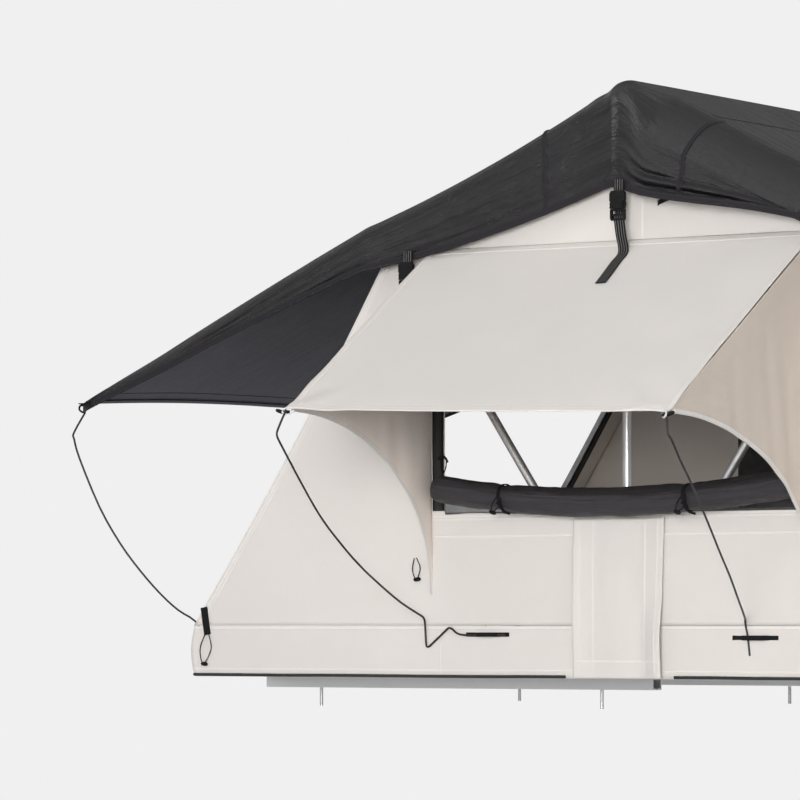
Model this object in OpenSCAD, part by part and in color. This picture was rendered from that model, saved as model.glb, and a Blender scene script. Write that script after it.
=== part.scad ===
// Soft-shell roof tent, opened: two floor halves on a fold hinge, three bows,
// canvas, fly with end awnings, a propped side awning and a sliding ladder.
// Modelled about the fold: X along the tent, -Y the propped side, +Z up, and
// Z = 0 at the underside of the floor. The part's origin is the middle of the
// four rail bolts, in the plane on which the rails sit.

/* [Floor] */
// Length of each floor half along the tent
base_l = 1200; // [1050:10:1300]
// Width across the edge frames
base_w = 1390; // [1250:10:1500]
// Thickness of the floor
base_t = 40; // [30:1:50]
// Wall of the edge frame extrusion
frame_wall = 3; // [2:0.5:5]
// Width of the frame's lips over the board
frame_lip = 24; // [15:1:40]
// Gap between the two halves when open
fold_gap = 1; // [0.6:0.2:3]
// Mattress thickness at the crown
mattress_h = 60; // [40:2:64]
// Gap from the mattress to the edge of the floor at the sides
mattress_side = 62; // [56:1:90]
// Gap from the mattress to the ends of its floor half
mattress_end = 22; // [15:1:60]

/* [Mounting rails] */
// Distance between the rails
rail_pitch = 900; // [700:10:1000]
// Length of a rail
rail_l = 1100; // [900:10:1150]
// Width of a rail
rail_w = 40; // [34:1:50]
// Height of a rail
rail_h = 28; // [24:1:40]
// Wall of a rail
rail_wall = 3.5; // [2.5:0.5:5]
// Bolt distance along a rail
bolt_pitch = 800; // [500:10:900]
// Bolt diameter
bolt_d = 8; // [6:1:10]
// Bolt length below the rail
bolt_reach = 45; // [30:1:70]

/* [Fold hinge] */
// Height of the fold pin above the floor
pivot_h = 110; // [100:1:130]
// Side bow pins: distance from the fold along the tent
bow_dx = 35; // [30:1:45]
// Side bow pins: drop below the fold pin
bow_drop = 30; // [26:1:36]
// Thickness of a hinge plate
plate_t = 5; // [4:0.5:6]
// Length of a hinge plate's foot
plate_l = 176; // [120:2:260]
// Fold pin diameter
fold_pin_d = 10; // [8:1:12]
// Side bow pin diameter
bow_pin_d = 8; // [6:1:10]

/* [Bows] */
// Diameter of the bow tube
tube_d = 20; // [16:1:22]
// Wall of the bow tube
tube_wall = 1.5; // [1:0.1:3]
// Radius of the bends at the top of a bow
bend_r = 70; // [40:5:120]
// Side bow: pin to the middle of the cross tube
bow_len = 1055; // [900:5:1100]
// Side bow: angle above the floor when open
bow_angle = 56; // [50:1:62]
// Ridge bow: pin to the middle of the cross tube
ridge_len = 1140; // [1000:5:1150]
// Distance from the legs' axis to the floor's edge
leg_inset = 30; // [26:1:36]
// Diameter of the fly poles
pole_d = 16; // [12:1:20]
// Fly pole above a side bow
fly_lift = 70; // [50:1:85]
// Fly pole above the ridge bow
ridge_lift = 50; // [40:1:55]

/* [Canvas] */
// Thickness of the canvas
canvas_t = 3; // [2:0.5:4]
// Height of the seam between skirt and wall
seam_z = 120; // [90:2:140]
// Width of the side window
window_w = 952; // [700:2:960]
// Sill of the side window above the floor's underside
sill_z = 385; // [300:5:450]
// Head of the side window below the top of the side bows
head_drop = 18; // [16:1:80]
// Width of the end doors
door_w = 1080; // [900:10:1260]
// Door: distance from the seam, along the end wall
door_sill = 70; // [50:5:200]
// Door: height along the end wall
door_h = 860; // [600:10:900]
// Radius of the door's upper corners
door_r = 120; // [60:10:200]
// Radius of the rolled doors and window net
roll_r = 35; // [24:1:38]
// Width of the flap over the fold
flap_w = 236; // [160:2:300]

/* [Awnings] */
// Width of the side awnings
awning_w = 1030; // [1020:2:1100]
// Length of the side awnings
awning_l = 740; // [600:5:760]
// Seam that carries the side awnings, below the top of the side bows
awning_drop = 4.5; // [2:0.5:10]
// Slope of the propped awning below level
awning_slope = 34; // [28:1:45]
// Lower end of the gussets
gusset_z = 182; // [150:2:260]

/* [Fly] */
// Thickness of the fly
fly_t = 2.5; // [1.5:0.5:4]
// Outer edge of the end awnings, from the fold
fly_end_x = 1500; // [1300:10:1550]
// Height of that edge at its corners
fly_end_z = 662; // [600:2:720]
// Reach of the fly past the floor's side, at the ridge
fly_ridge_over = 24; // [18:1:105]
// Reach of the fly past the floor's side, at the side bows
fly_bow_over = 50; // [40:1:65]
// Reach of the fly past the floor's side, at its ends
fly_end_over = 60; // [40:1:85]
// Depth of the valance at the ridge
valance_ridge = 232; // [150:2:240]
// Depth of the valance at the side bows
valance_bow = 108; // [80:2:112]
// Sag of the fly between the ridge and a side bow
fly_sag = 18; // [0:1:24]

/* [Prop rods] */
// Diameter of a prop rod
rod_d = 5; // [4:0.5:7]
// Distance of the end rods from the floor's side
end_rod_inset = 55; // [45:5:135]
// Sideways step of the folding half's rods, so that they pass the others
rod_step = 24; // [16:1:40]

/* [Ladder] */
// Outer width of the ladder
ladder_w = 430; // [360:5:480]
// Length of one section
ladder_l = 1130; // [900:10:1130]
// Depth of a stile
stile_d = 40; // [34:1:44]
// Width of a stile
stile_w = 25; // [20:1:30]
// Rungs in one section
rung_n = 4; // [3:1:5]
// Overlap of the sections when extended
ladder_lap = 170; // [120:5:300]
// Ladder pin below the floor
ladder_drop = 48; // [46:1:60]
// Ladder pin to the end of the floor
ladder_inset = 55; // [50:1:120]

/* [Clearances] */
// Between cloth and what carries it
cloth_gap = 0.3; // [0.2:0.1:1]
// Between pieces that move past each other
run_gap = 1; // [0.6:0.1:2]
// Radial clearance of a pin in its bore
pin_gap = 0.05; // [0.02:0.01:0.1]
// Around a piece that is set into another
seat_gap = 0.1; // [0.05:0.05:0.3]

/* [Hidden] */
$fn = 48;

canvas_colour = "#d8d3cc";
fly_colour = "#2b2a2e";
alloy_colour = "#b9bcc0";
black_colour = "#1c1c1e";
steel_colour = "#3a3a3d";
board_colour = "#8f9296";

// Side cloth: inner and outer face, and the outer face of the end skirts
wall_in = base_w/2 + cloth_gap;
wall_out = wall_in + canvas_t;
end_out = base_l + cloth_gap + canvas_t;

// Pins, seen along Y as [x, z]
pivot_z = base_t + pivot_h;
bow_pin_z = pivot_z - bow_drop;
leg_y = base_w/2 - leg_inset;
leg_dir = [-cos(bow_angle), sin(bow_angle)];
bow_tip = [-bow_dx, bow_pin_z] + bow_len*leg_dir;
ridge_z = pivot_z + ridge_len;

function unit(v) = v/norm(v);
function outward(a, b) = let (d = unit(b - a)) [-d.y, d.x];

// The canvas turns over the tubes at these points, far enough out for its slope on both sides
wall_foot = [-end_out, seam_z + 2*run_gap];
cloth_set = tube_d/2 + cloth_gap + canvas_t;
end_out_dir = outward(wall_foot, bow_tip);
roof_out_dir = outward(bow_tip, [0, ridge_z]);
bow_reach = cloth_set/min(leg_dir*end_out_dir, leg_dir*roof_out_dir);
ridge_reach = cloth_set/roof_out_dir.y;
bow_corner = bow_tip + bow_reach*leg_dir;
apex_z = ridge_z + ridge_reach;
seam_cut = canvas_t/2;
head_z = bow_corner.y - head_drop;
awning_z = bow_corner.y - awning_drop;

// The fly turns over its poles at these points
fly_reach = 1.2*(pole_d/2 + cloth_gap) + fly_t;
fly_kink = bow_tip + (fly_lift + fly_reach)*leg_dir;
fly_apex = ridge_z + ridge_lift + fly_reach;
fly_ridge_w = base_w/2 + fly_ridge_over;
fly_bow_w = base_w/2 + fly_bow_over;
fly_end_w = base_w/2 + fly_end_over;
end_rod_y = base_w/2 - end_rod_inset;

// Hinge layers across the tent, from the legs outward
eye_t = 8;
plate_y = leg_y + eye_t/2 + 3*run_gap;
fold_plate_y = plate_y + plate_t + run_gap;
eye_r = fold_pin_d/2 + 9;
bow_eye_r = bow_pin_d/2 + 9;
foot_l = 40;
spigot_l = 40;
flange_w = 26;
flange_t = 4;

// The awning's seam and its free edge, as [y, z]
awning_top = [-(wall_out + 2*run_gap), awning_z];
awning_dir = [-cos(awning_slope), -sin(awning_slope)];
// Its corners hang a little askew: the left one inward and up, the right one outward and down
awning_skew = [[22, 19], [-36, -14]];
function awning_corner(u) = awning_top + awning_l*awning_dir + (1 - u)*awning_skew[0] + u*awning_skew[1];
function awning_run(u) = (awning_corner(u) - awning_top)/awning_l;
awning_sag = 12;

// Moves the model from the fold to the part's origin
module placed() translate([base_l/2, 0, rail_h]) children();
module right_half() mirror([1, 0, 0]) children();
module both_sides() for (s = [0, 1]) mirror([0, s, 0]) children();

// A shape drawn in X and Z, given a thickness from y0 to y1
module side_plate(y0, y1) translate([0, y1, 0]) rotate([90, 0, 0]) linear_extrude(y1 - y0) children();

// A shape drawn in Y and Z, given a thickness from x0 to x1
module cross_plate(x0, x1) translate([x0, 0, 0]) rotate([90, 0, 90]) linear_extrude(x1 - x0) children();

// A shape drawn along a slope from a to b, given as [x, z], with its thickness below the slope
module slope_plate(a, b, t)
  translate([a.x, 0, a.y]) rotate([0, -atan2(b.y - a.y, b.x - a.x), 0]) translate([0, 0, -t])
    linear_extrude(t) children();

function flat(rows) = [for (r = rows) each r];
function quad(a, b, c, d, turn) = turn ? [[a, c, b], [a, d, c]] : [[a, b, c], [a, c, d]];
function lerp(a, b, t) = a + (b - a)*t;
function steps(n) = [for (i = [0:n]) i/n];

function patch(o, n, m, turn) = [for (i = [0:n - 2], j = [0:m - 2])
  quad(o + i*m + j, o + i*m + j + 1, o + (i + 1)*m + j + 1, o + (i + 1)*m + j, turn)];
function rim(a, b, k, turn) = quad(a, b, k + b, k + a, turn);

// A thin closed sheet: rows of points on one face, and the step to the other face
module sheet(rows, step) {
  n = len(rows);
  m = len(rows[0]);
  k = n*m;
  points = concat(flat(rows), [for (p = flat(rows)) p + step]);
  turn = cross(rows[0][1] - rows[0][0], rows[1][0] - rows[0][0])*step > 0;
  faces = flat(concat(patch(0, n, m, !turn), patch(k, n, m, turn),
    [for (j = [0:m - 2]) rim(j, j + 1, k, turn)],
    [for (j = [0:m - 2]) rim(k - m + j, k - m + j + 1, k, !turn)],
    [for (i = [0:n - 2]) rim(i*m, (i + 1)*m, k, !turn)],
    [for (i = [0:n - 2]) rim(i*m + m - 1, (i + 1)*m + m - 1, k, turn)]));
  polyhedron(points, faces);
}

function tangent(path, i) = unit(path[min(i + 1, len(path) - 1)] - path[max(i - 1, 0)]);

// A tube swept along a path; up is any direction that the path never takes
module swept(path, r, sides, up) {
  n = len(path);
  rings = [for (i = [0:n - 1]) let (t = tangent(path, i), a = unit(cross(up, t)), b = cross(t, a))
    [for (j = [0:sides - 1]) path[i] + r*(cos(360*j/sides)*a + sin(360*j/sides)*b)]];
  points = concat(flat(rings), [path[0], path[n - 1]]);
  walls = flat([for (i = [0:n - 2], j = [0:sides - 1])
    quad(i*sides + j, i*sides + (j + 1)%sides, (i + 1)*sides + (j + 1)%sides, (i + 1)*sides + j, true)]);
  ends = flat([for (j = [0:sides - 1]) [[n*sides, j, (j + 1)%sides],
    [n*sides + 1, (n - 1)*sides + (j + 1)%sides, (n - 1)*sides + j]]]);
  polyhedron(points, concat(walls, ends));
}

// A smooth curve through all of its points, with n steps between two of them
function through(p, n) = concat([for (i = [0:len(p) - 2], k = [0:n - 1])
  let (t = k/n, a = p[max(i - 1, 0)], b = p[i], c = p[i + 1], d = p[min(i + 2, len(p) - 1)])
  b + t*(c - a)/2 + t*t*(a - 5*b/2 + 2*c - d/2) + t*t*t*(3*b - a - 3*c + d)/2], [p[len(p) - 1]]);

// Floor

module floor_block(inset, z0, z1)
  translate([-base_l + inset, -base_w/2 + inset, z0])
    cube([base_l - fold_gap/2 - 2*inset, base_w - 2*inset, z1 - z0]);

// The board is rebated all round, so that its faces are level with the frame's lips
module floor_board() color(board_colour) {
  rebate = frame_wall + seat_gap;
  floor_block(rebate, rebate, base_t - rebate);
  floor_block(rebate + frame_lip, 0, base_t);
}

module edge_frame() color(alloy_colour) difference() {
  floor_block(0, 0, base_t);
  floor_block(frame_wall, frame_wall, base_t - frame_wall);
  floor_block(frame_wall + frame_lip, -1, base_t + 1);
}

module rail(side) color(alloy_colour)
  translate([-base_l/2 - rail_l/2, side*rail_pitch/2, -rail_h]) rotate([90, 0, 90]) linear_extrude(rail_l)
    difference() {
      translate([-rail_w/2, 0]) square([rail_w, rail_h]);
      translate([-rail_w/2 + rail_wall, rail_wall]) square([rail_w - 2*rail_wall, rail_h - 2*rail_wall]);
      translate([-bolt_d/2 - seat_gap, -1]) square([bolt_d + 2*seat_gap, rail_wall + 2]);
    }

// Each bolt has a square neck that keeps it from turning in the slot
module rail_bolts() color(steel_colour)
  for (x = [-1, 1]*bolt_pitch/2, y = [-1, 1]*rail_pitch/2) translate([-base_l/2 + x, y, -rail_h]) {
    translate([0, 0, -bolt_reach]) cylinder(h = bolt_reach, d = bolt_d);
    translate([-bolt_d/2, -bolt_d/2, 0]) cube([bolt_d, bolt_d, rail_wall + 1]);
    translate([0, 0, rail_wall]) cylinder(h = 0.65*bolt_d, d = 2.2*bolt_d);
  }

// A foam mattress: crowned, with its sides drawn in between the corners
mattress_n = 40;
mattress_draw = 12;
// Rings from the underside up: share of the outline, then height as a share of the thickness
mattress_rings = [
  [0.97, 0], [1, 0.12], [1, 0.5], [1, 0.78], [0.985, 0.87], [0.94, 0.92], [0.75, 0.965], [0.4, 0.99]];

function mattress_edge(k) =
  let (a = 360*(k + 0.5)/mattress_n, l = base_l/2 - mattress_end, w = base_w/2 - mattress_side,
       u = sign(cos(a))*pow(abs(cos(a)), 0.16), v = sign(sin(a))*pow(abs(sin(a)), 0.16))
  [u*(l - mattress_draw*(1 - v*v)), v*(w - mattress_draw*(1 - u*u))];

module mattress() color("#6d7078") {
  m = len(mattress_rings);
  outline = [for (k = [0:mattress_n - 1]) mattress_edge(k)];
  points = concat(flat([for (r = mattress_rings) [for (p = outline) [r[0]*p.x, r[0]*p.y, r[1]*mattress_h]]]),
    [[0, 0, 0], [0, 0, mattress_h]]);
  walls = flat([for (i = [0:m - 2], j = [0:mattress_n - 1])
    quad(i*mattress_n + j, i*mattress_n + (j + 1)%mattress_n, (i + 1)*mattress_n + (j + 1)%mattress_n,
      (i + 1)*mattress_n + j, true)]);
  ends = flat([for (j = [0:mattress_n - 1]) [[m*mattress_n, j, (j + 1)%mattress_n],
    [m*mattress_n + 1, (m - 1)*mattress_n + (j + 1)%mattress_n, (m - 1)*mattress_n + j]]]);
  translate([-base_l/2, 0, base_t + cloth_gap]) polyhedron(points, concat(walls, ends));
}

// Fold hinge

// The plates' feet stand this far back from the fold
plate_set = 14;
module hinge_plate_outline() difference() {
  union() {
    circle(eye_r + 4);
    translate([-bow_dx, -bow_drop]) circle(bow_eye_r + 3);
    polygon([[-eye_r*0.8, eye_r], [eye_r + 2, -eye_r*0.6], [-fold_gap - 9, -pivot_h],
      [-plate_l - plate_set, -pivot_h], [-plate_l - plate_set, -pivot_h + 22],
      [-bow_dx - bow_eye_r, -bow_drop - 4]]);
  }
  circle(fold_pin_d/2 + pin_gap);
  translate([-bow_dx, -bow_drop]) circle(bow_pin_d/2 + pin_gap);
}

module hinge_bracket(y) color(alloy_colour) both_sides() {
  translate([0, 0, pivot_z]) side_plate(-y - plate_t, -y) hinge_plate_outline();
  translate([-plate_l - plate_set, -y, base_t]) cube([plate_l, flange_w, flange_t]);
}

// A pin along Y with a head outside and a nut inside
module hinge_pin(d, y0, y1) both_sides() {
  translate([0, -y0, 0]) rotate([90, 0, 0]) cylinder(h = y1 - y0, d = d);
  translate([0, -y1, 0]) rotate([90, 0, 0]) cylinder(h = 0.45*d, d = 1.7*d);
  translate([0, -y0, 0]) rotate([-90, 0, 0]) cylinder(h = 0.45*d, d = 1.8*d, $fn = 6);
}

pin_in = leg_y - eye_t/2 - run_gap/2;
module fold_pins() color(steel_colour)
  translate([0, 0, pivot_z]) hinge_pin(fold_pin_d, pin_in, fold_plate_y + plate_t + run_gap/2);

module bow_pins(y) color(steel_colour)
  translate([-bow_dx, 0, bow_pin_z]) hinge_pin(bow_pin_d, pin_in, y + plate_t);

// Bows, drawn standing on their pins

module ring() difference() {
  circle(d = tube_d);
  circle(d = tube_d - 2*tube_wall);
}

module bow_tube(length) color(alloy_colour) {
  both_sides() {
    translate([0, leg_y, foot_l]) linear_extrude(length - bend_r - foot_l) ring();
    translate([0, leg_y - bend_r, length - bend_r]) rotate([90, 0, 90]) rotate_extrude(angle = 90)
      translate([bend_r, 0]) ring();
  }
  translate([0, leg_y - bend_r, length]) rotate([90, 0, 0]) linear_extrude(2*(leg_y - bend_r)) ring();
}

collar_l = 8;
module bow_feet(pin_d, r) color(steel_colour) both_sides() {
  side_plate(-leg_y - eye_t/2, -leg_y + eye_t/2) difference() {
    union() {
      circle(r);
      translate([-tube_d/2, 0]) square([tube_d, foot_l]);
    }
    circle(pin_d/2 + pin_gap);
  }
  translate([0, -leg_y, foot_l]) cylinder(h = spigot_l, d = tube_d - 2*tube_wall - 2*seat_gap);
  translate([0, -leg_y, foot_l - collar_l]) cylinder(h = collar_l, d = tube_d);
}

module side_feet() bow_feet(bow_pin_d, bow_eye_r);
module ridge_feet() bow_feet(fold_pin_d, eye_r);

module left_bow() translate([-bow_dx, 0, bow_pin_z]) rotate([0, bow_angle - 90, 0]) children();
module ridge_bow() translate([0, 0, pivot_z]) children();

post_y = 430;
pad_d = 30;
pad_t = 4;

// A pole that holds the fly off the canvas, on three posts
module fly_pole(length, lift, half, reach) color(alloy_colour) {
  seat = reach + cloth_gap;
  translate([0, half, length + lift]) rotate([90, 0, 0]) cylinder(h = 2*half, d = pole_d);
  for (y = [-post_y, 0, post_y]) translate([0, y, length + seat]) {
    cylinder(h = lift - seat, d = 0.75*pole_d);
    cylinder(h = pad_t, d = pad_d);
  }
}

module side_pole() fly_pole(bow_len, fly_lift, wall_in - 7, bow_reach);
module ridge_pole() fly_pole(ridge_len, ridge_lift, fly_ridge_w - 2, ridge_reach);

// Canvas

module wall_outline() polygon([
  wall_foot, bow_corner, [0, apex_z], [-bow_corner.x, bow_corner.y], [-wall_foot.x, wall_foot.y]]);

module side_wall() color(canvas_colour) side_plate(-wall_out, -wall_in) difference() {
  wall_outline();
  translate([-window_w/2, sill_z]) square([window_w, head_z - sill_z]);
}

end_len = norm(bow_corner - wall_foot);
roof_len = norm([0, apex_z] - bow_corner);
inner_w = 2*(wall_in - seat_gap);

module end_wall() color(canvas_colour) slope_plate(wall_foot, bow_corner, canvas_t) difference() {
  translate([seam_cut, -inner_w/2]) square([end_len - 2*seam_cut, inner_w]);
  translate([door_sill, -door_w/2]) square([door_h - door_r, door_w]);
  translate([door_sill, -door_w/2 + door_r]) square([door_h, door_w - 2*door_r]);
  for (s = [-1, 1]) translate([door_sill + door_h - door_r, s*(door_w/2 - door_r)]) circle(door_r);
}

module roof() color(canvas_colour) slope_plate(bow_corner, [0, apex_z], canvas_t)
  translate([seam_cut, -inner_w/2]) square([roof_len - 2*seam_cut, inner_w]);

// The lower band of cloth round one floor half
module skirt() color(canvas_colour) difference() {
  translate([-end_out, -wall_out, 0]) cube([end_out - fold_gap/2, 2*wall_out, seam_z]);
  translate([-base_l - cloth_gap, -wall_in, -1]) cube([end_out, 2*wall_in, seam_z + 2]);
}

piping_d = 8;
module hem_piping() color(black_colour) {
  z = piping_d/2;
  x = end_out + piping_d/2;
  y = wall_out + piping_d/2;
  run = x - flap_w/2 - 20;
  for (s = [-1, 1]) translate([-x, s*y, z]) {
    rotate([0, 90, 0]) cylinder(h = run, d = piping_d);
    sphere(d = piping_d);
  }
  translate([-x, y, z]) rotate([90, 0, 0]) cylinder(h = 2*y, d = piping_d);
}

// A sewn-down webbing bridge that holds the foot of a rod
loop_l = 120;
loop_w = 12;
loop_t = 2;
loop_rise = rod_d + 2;
module webbing_loop() linear_extrude(loop_w) polygon([
  [-loop_l/2, 0], [-loop_l/2, loop_t], [-loop_l/4, loop_t], [-loop_l/6, loop_rise + loop_t],
  [loop_l/6, loop_rise + loop_t], [loop_l/4, loop_t], [loop_l/2, loop_t], [loop_l/2, 0],
  [loop_l/4, 0], [loop_l/6, loop_rise], [-loop_l/6, loop_rise], [-loop_l/4, 0]]);

// A sewn-down webbing sleeve, open along the tent, for a rod that lies in it
sleeve_h = 20;
module webbing_sleeve() cross_plate(-loop_l/2, loop_l/2) polygon([
  [0, -sleeve_h/2], [-loop_t, -sleeve_h/2], [-loop_t, -8], [-loop_rise - loop_t, -4],
  [-loop_rise - loop_t, 4], [-loop_t, 8], [-loop_t, sleeve_h/2], [0, sleeve_h/2],
  [0, 8], [-loop_rise, 4], [-loop_rise, -4], [0, -8]]);

loop_z = 92;
sleeve_z = 100;
side_rod_x = 358;
tab_w = 20;
tab_x = 18;
tab_z = 24;
module corner_tabs() {
  for (y = [wall_out, -wall_out - loop_t]) translate([-end_out + tab_x, y, tab_z])
    cube([tab_w, loop_t, seam_z - tab_z - 2]);
}

module end_loops(step) {
  for (y = [-1, 1]*(end_rod_y - step))
    translate([-end_out, y, loop_z - 2*loop_w]) rotate([0, 0, 90]) webbing_loop();
}

module webbing_fixed() color(black_colour) {
  translate([-side_rod_x, -wall_out, sleeve_z]) webbing_sleeve();
  end_loops(0);
  corner_tabs();
}

module webbing_folding() color(black_colour) right_half() {
  translate([-side_rod_x, -wall_out, loop_z]) rotate([0, 0, 180]) webbing_loop();
  end_loops(rod_step);
  corner_tabs();
}

// Rolls of net or door cloth, a little slack between their ties
module cloth_roll(half, sag) {
  path = [for (t = steps(20)) [lerp(-half, half, t), 0, -sag*(1 - pow(2*t - 1, 2))]];
  swept(path, roll_r, 12, [0, 1, 0]);
}

roll_sag = 37;
roll_lift = 20;
module window_roll() color(black_colour)
  translate([0, -wall_out - cloth_gap - roll_r, sill_z + roll_r + roll_lift])
    cloth_roll(window_w/2 - cloth_gap, roll_sag);

door_roll_sag = 4;
module door_roll() color(canvas_colour) {
  up = unit(bow_corner - wall_foot);
  at = wall_foot + (door_sill + door_h + roll_r + 6)*up;
  out = (roll_r + cloth_gap + up.x*door_roll_sag)*[-up.y, up.x];
  translate([at.x + out.x, 0, at.y + out.y]) rotate([0, 0, 90]) cloth_roll(door_w/2 - 20, door_roll_sag);
}

zip_w = 32;
zip_t = 1.5;
module window_zips() color(black_colour) for (x = [-window_w/2 - zip_w - 2, window_w/2 + 2])
  translate([x, -wall_out - zip_t, sill_z + 4]) cube([zip_w, zip_t, head_z - sill_z - 8]);

// The flap that hangs over the fold, with two soft folds
flap_top = sill_z - 20;
flap_rows = 4;
flap_cols = 24;
// On the far side the closed awning hides the rest of the flap
flap_top_far = awning_z - awning_l - 6;
function flap_y(u, v) = -wall_out - cloth_gap - 5*(1 - v)*(1 - cos(720*u))/2 - 2*sin(180*v);
module fold_flap(top) color(canvas_colour) sheet([for (v = steps(flap_rows)) [for (u = steps(flap_cols))
  [lerp(-flap_w/2, flap_w/2, u), flap_y(u, v), lerp(1, top, v)]]], [0, -canvas_t, 0]);

// Awnings

module awning_near() color(canvas_colour) sheet([for (v = steps(10)) [for (u = steps(12))
  let (at = awning_top + (2 + (awning_l - 2)*v)*awning_run(u), dip = awning_sag*sin(180*v)*sin(180*u))
  [lerp(-awning_w/2, awning_w/2, u), at.x, at.y - dip]]], [0, 0, -canvas_t]);

gusset_n = 16;
module gusset_outline(u) {
  wall_y = -wall_out - cloth_gap;
  drop = canvas_t + cloth_gap + 0.2;
  tip = awning_corner(u) - [0, drop] - 6*awning_run(u);
  reach = [wall_y - tip.x, tip.y - gusset_z];
  polygon(concat([[wall_y, awning_z - drop - 12], awning_top + 20*awning_run(u) - [0, drop]],
    [for (t = steps(gusset_n)) [tip.x + reach.x*sin(90*t), gusset_z + reach.y*cos(90*t)]]));
}

module awning_gussets() color(canvas_colour) for (s = [-1, 1])
  cross_plate(s*awning_w/2 - (s > 0 ? canvas_t : 0), s*awning_w/2 + (s > 0 ? 0 : canvas_t))
    gusset_outline((s + 1)/2);

module awning_far() color(canvas_colour)
  translate([-awning_w/2, wall_out + cloth_gap, awning_z - awning_l]) cube([awning_w, canvas_t, awning_l]);

// Fly

// Where a station lies: 0 at the ridge, 1 over a side bow, 2 at the end
function fly_part(x) = let (k = -fly_kink.x, a = abs(x)) a < k ? a/k : 1 + (a - k)/(fly_end_x - k);
function two_spans(p, a, b, c) = p < 1 ? lerp(a, b, p) : lerp(b, c, p - 1);
function fly_half(x) = two_spans(fly_part(x), fly_ridge_w, fly_bow_w, fly_end_w);
function hump(t) = 4*t*(1 - t);
function fly_edge_z(x) = let (p = fly_part(x))
  two_spans(p, fly_apex, fly_kink.y, fly_end_z) + (p < 1 ? -fly_sag*hump(p) : 8*hump(p - 1));
// The free ends rise a little between their corners
function fly_z(x, v) = fly_edge_z(x) + max(0, fly_part(x) - 1.4)*40*(1 - v*v);
fly_left = concat([for (t = steps(9)) lerp(-fly_end_x, fly_kink.x, t)],
  [for (i = [1:8]) fly_kink.x*(1 - i/8)]);
fly_x = concat(fly_left, [for (i = [len(fly_left) - 2:-1:0]) -fly_left[i]]);

module fly_sheet() color(fly_colour) sheet([for (x = fly_x) [for (t = steps(8))
  let (v = 2*t - 1) [x, v*fly_half(x), fly_z(x, v)]]], [0, 0, -fly_t]);

function valance_depth(x) = two_spans(fly_part(x), valance_ridge, valance_bow, 14);

// The valance hangs from the edge of the fly, with a soft ripple
valance_ripple = 6;
function valance_out(i, t) = fly_half(fly_x[i]) + cloth_gap + valance_ripple*t*(i%2);
module fly_valance() color(fly_colour) sheet([for (t = steps(3)) [for (i = [0:len(fly_x) - 1])
  [fly_x[i], -valance_out(i, t), fly_edge_z(fly_x[i]) - t*valance_depth(fly_x[i])]]], [0, -fly_t, 0]);

strap_w = 25;
strap_t = 2;
strap_x = 575;
buckle = [34, 10, 60];
function hem_z(x) = fly_edge_z(x) - valance_depth(x);
hem_out = [for (i = [0:len(fly_x) - 1]) [fly_x[i], valance_out(i, 1)]];
function hem_y(x) = -max([for (d = [-1, 0, 1]) lookup(x + d*strap_w/2, hem_out)]) - fly_t;

function strap_y(x) = hem_y(x) - strap_t - cloth_gap;
function strap_drop(x) = x == 0 ? 100 : 70;

module fly_straps() color(black_colour) both_sides() for (x = [-strap_x, 0, strap_x])
  translate([x - strap_w/2, strap_y(x), hem_z(x) - strap_drop(x)])
    cube([strap_w, strap_t, strap_drop(x) + 20]);

buckle_bar = 4;
buckle_slot = 8;
buckle_slots = [9, 41];
module fly_buckles() color(black_colour) both_sides() for (x = [-strap_x, 0, strap_x])
  translate([x - buckle.x/2, strap_y(x) - cloth_gap - buckle.y, hem_z(x) - buckle.z - buckle_bar])
    difference() {
      cube(buckle);
      for (z = buckle_slots) translate([buckle_bar, -1, z])
        cube([buckle.x - 2*buckle_bar, buckle.y + 2, buckle_slot]);
    }

// Prop rods

module rod(path, up) color(steel_colour) swept(path, rod_d/2, 8, up);

rod_set = rod_d/2 + cloth_gap;
rod_out = wall_out + rod_set;
tip_gap = rod_d/2 + 1.5;

tip_in = 10;
tip_rise = 2.5;
tip_back = 10;
rod_foot_z = 52;
rod_stand = 54;
sleeve_past = 66;
sleeve_end = 50;
rod_lean = 15;
function near_tip(u) = awning_corner(u) + [tip_back, -tip_rise];

// The bow of a side rod, up to the elbow and the short leg at its tip:
// shares of the way outward, upward and along the tent
rod_curve = [[0.125, 0.107, 0.09], [0.235, 0.153, 0.23], [0.375, 0.228, 0.42], [0.515, 0.313, 0.66],
  [0.655, 0.414, 0.86], [0.79, 0.533, 1.02], [0.925, 0.685, 1.13], [1.045, 0.85, 1.17], [1.065, 0.885, 1.17],
  [1.062, 0.905, 1.15], [1, 1, 1]];

// Through the sleeve, round its sharp bends and out to the awning's left corner
module rod_near_left() {
  foot = [-awning_w/2, -rod_out, sleeve_z];
  way = [tip_in + rod_lean, near_tip(0).x + rod_out, near_tip(0).y - sleeve_z];
  hook = [[-side_rod_x + sleeve_end, -rod_out, sleeve_z], [-side_rod_x - sleeve_past, -rod_out, sleeve_z],
    foot + [60, 0, 14], foot + [51, 0, 16], foot + [43, 0, 11], foot + [0, 0, -24], foot + [-7, -1, -28],
    foot + [-12, -1, -22], foot + [-rod_lean, -2, 26], foot + [-rod_lean, -6, 36],
    foot + [-rod_lean, -22, 41]];
  rise = [for (f = rod_curve) foot + [f[1]*way.x - rod_lean, f[0]*way.y, f[1]*way.z]];
  rod(through(concat(hook, rise), 3), [1, 0.2, 0.1]);
}

// Straight up through the loop, then out to the awning's right corner
module rod_near_right() {
  foot = [side_rod_x, -rod_out, rod_foot_z];
  top = foot + [0, 0, rod_stand];
  tip = [awning_w/2 - tip_in, near_tip(1).x, near_tip(1).y];
  way = tip - top;
  rise = [for (f = rod_curve) top + [f[2]*way.x, f[0]*way.y, f[1]*way.z]];
  bend = [top, top + [0, -14, 20]];
  rod(concat([foot], through(concat(bend, rise), 3)), [1, 0.1, 0]);
}

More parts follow.
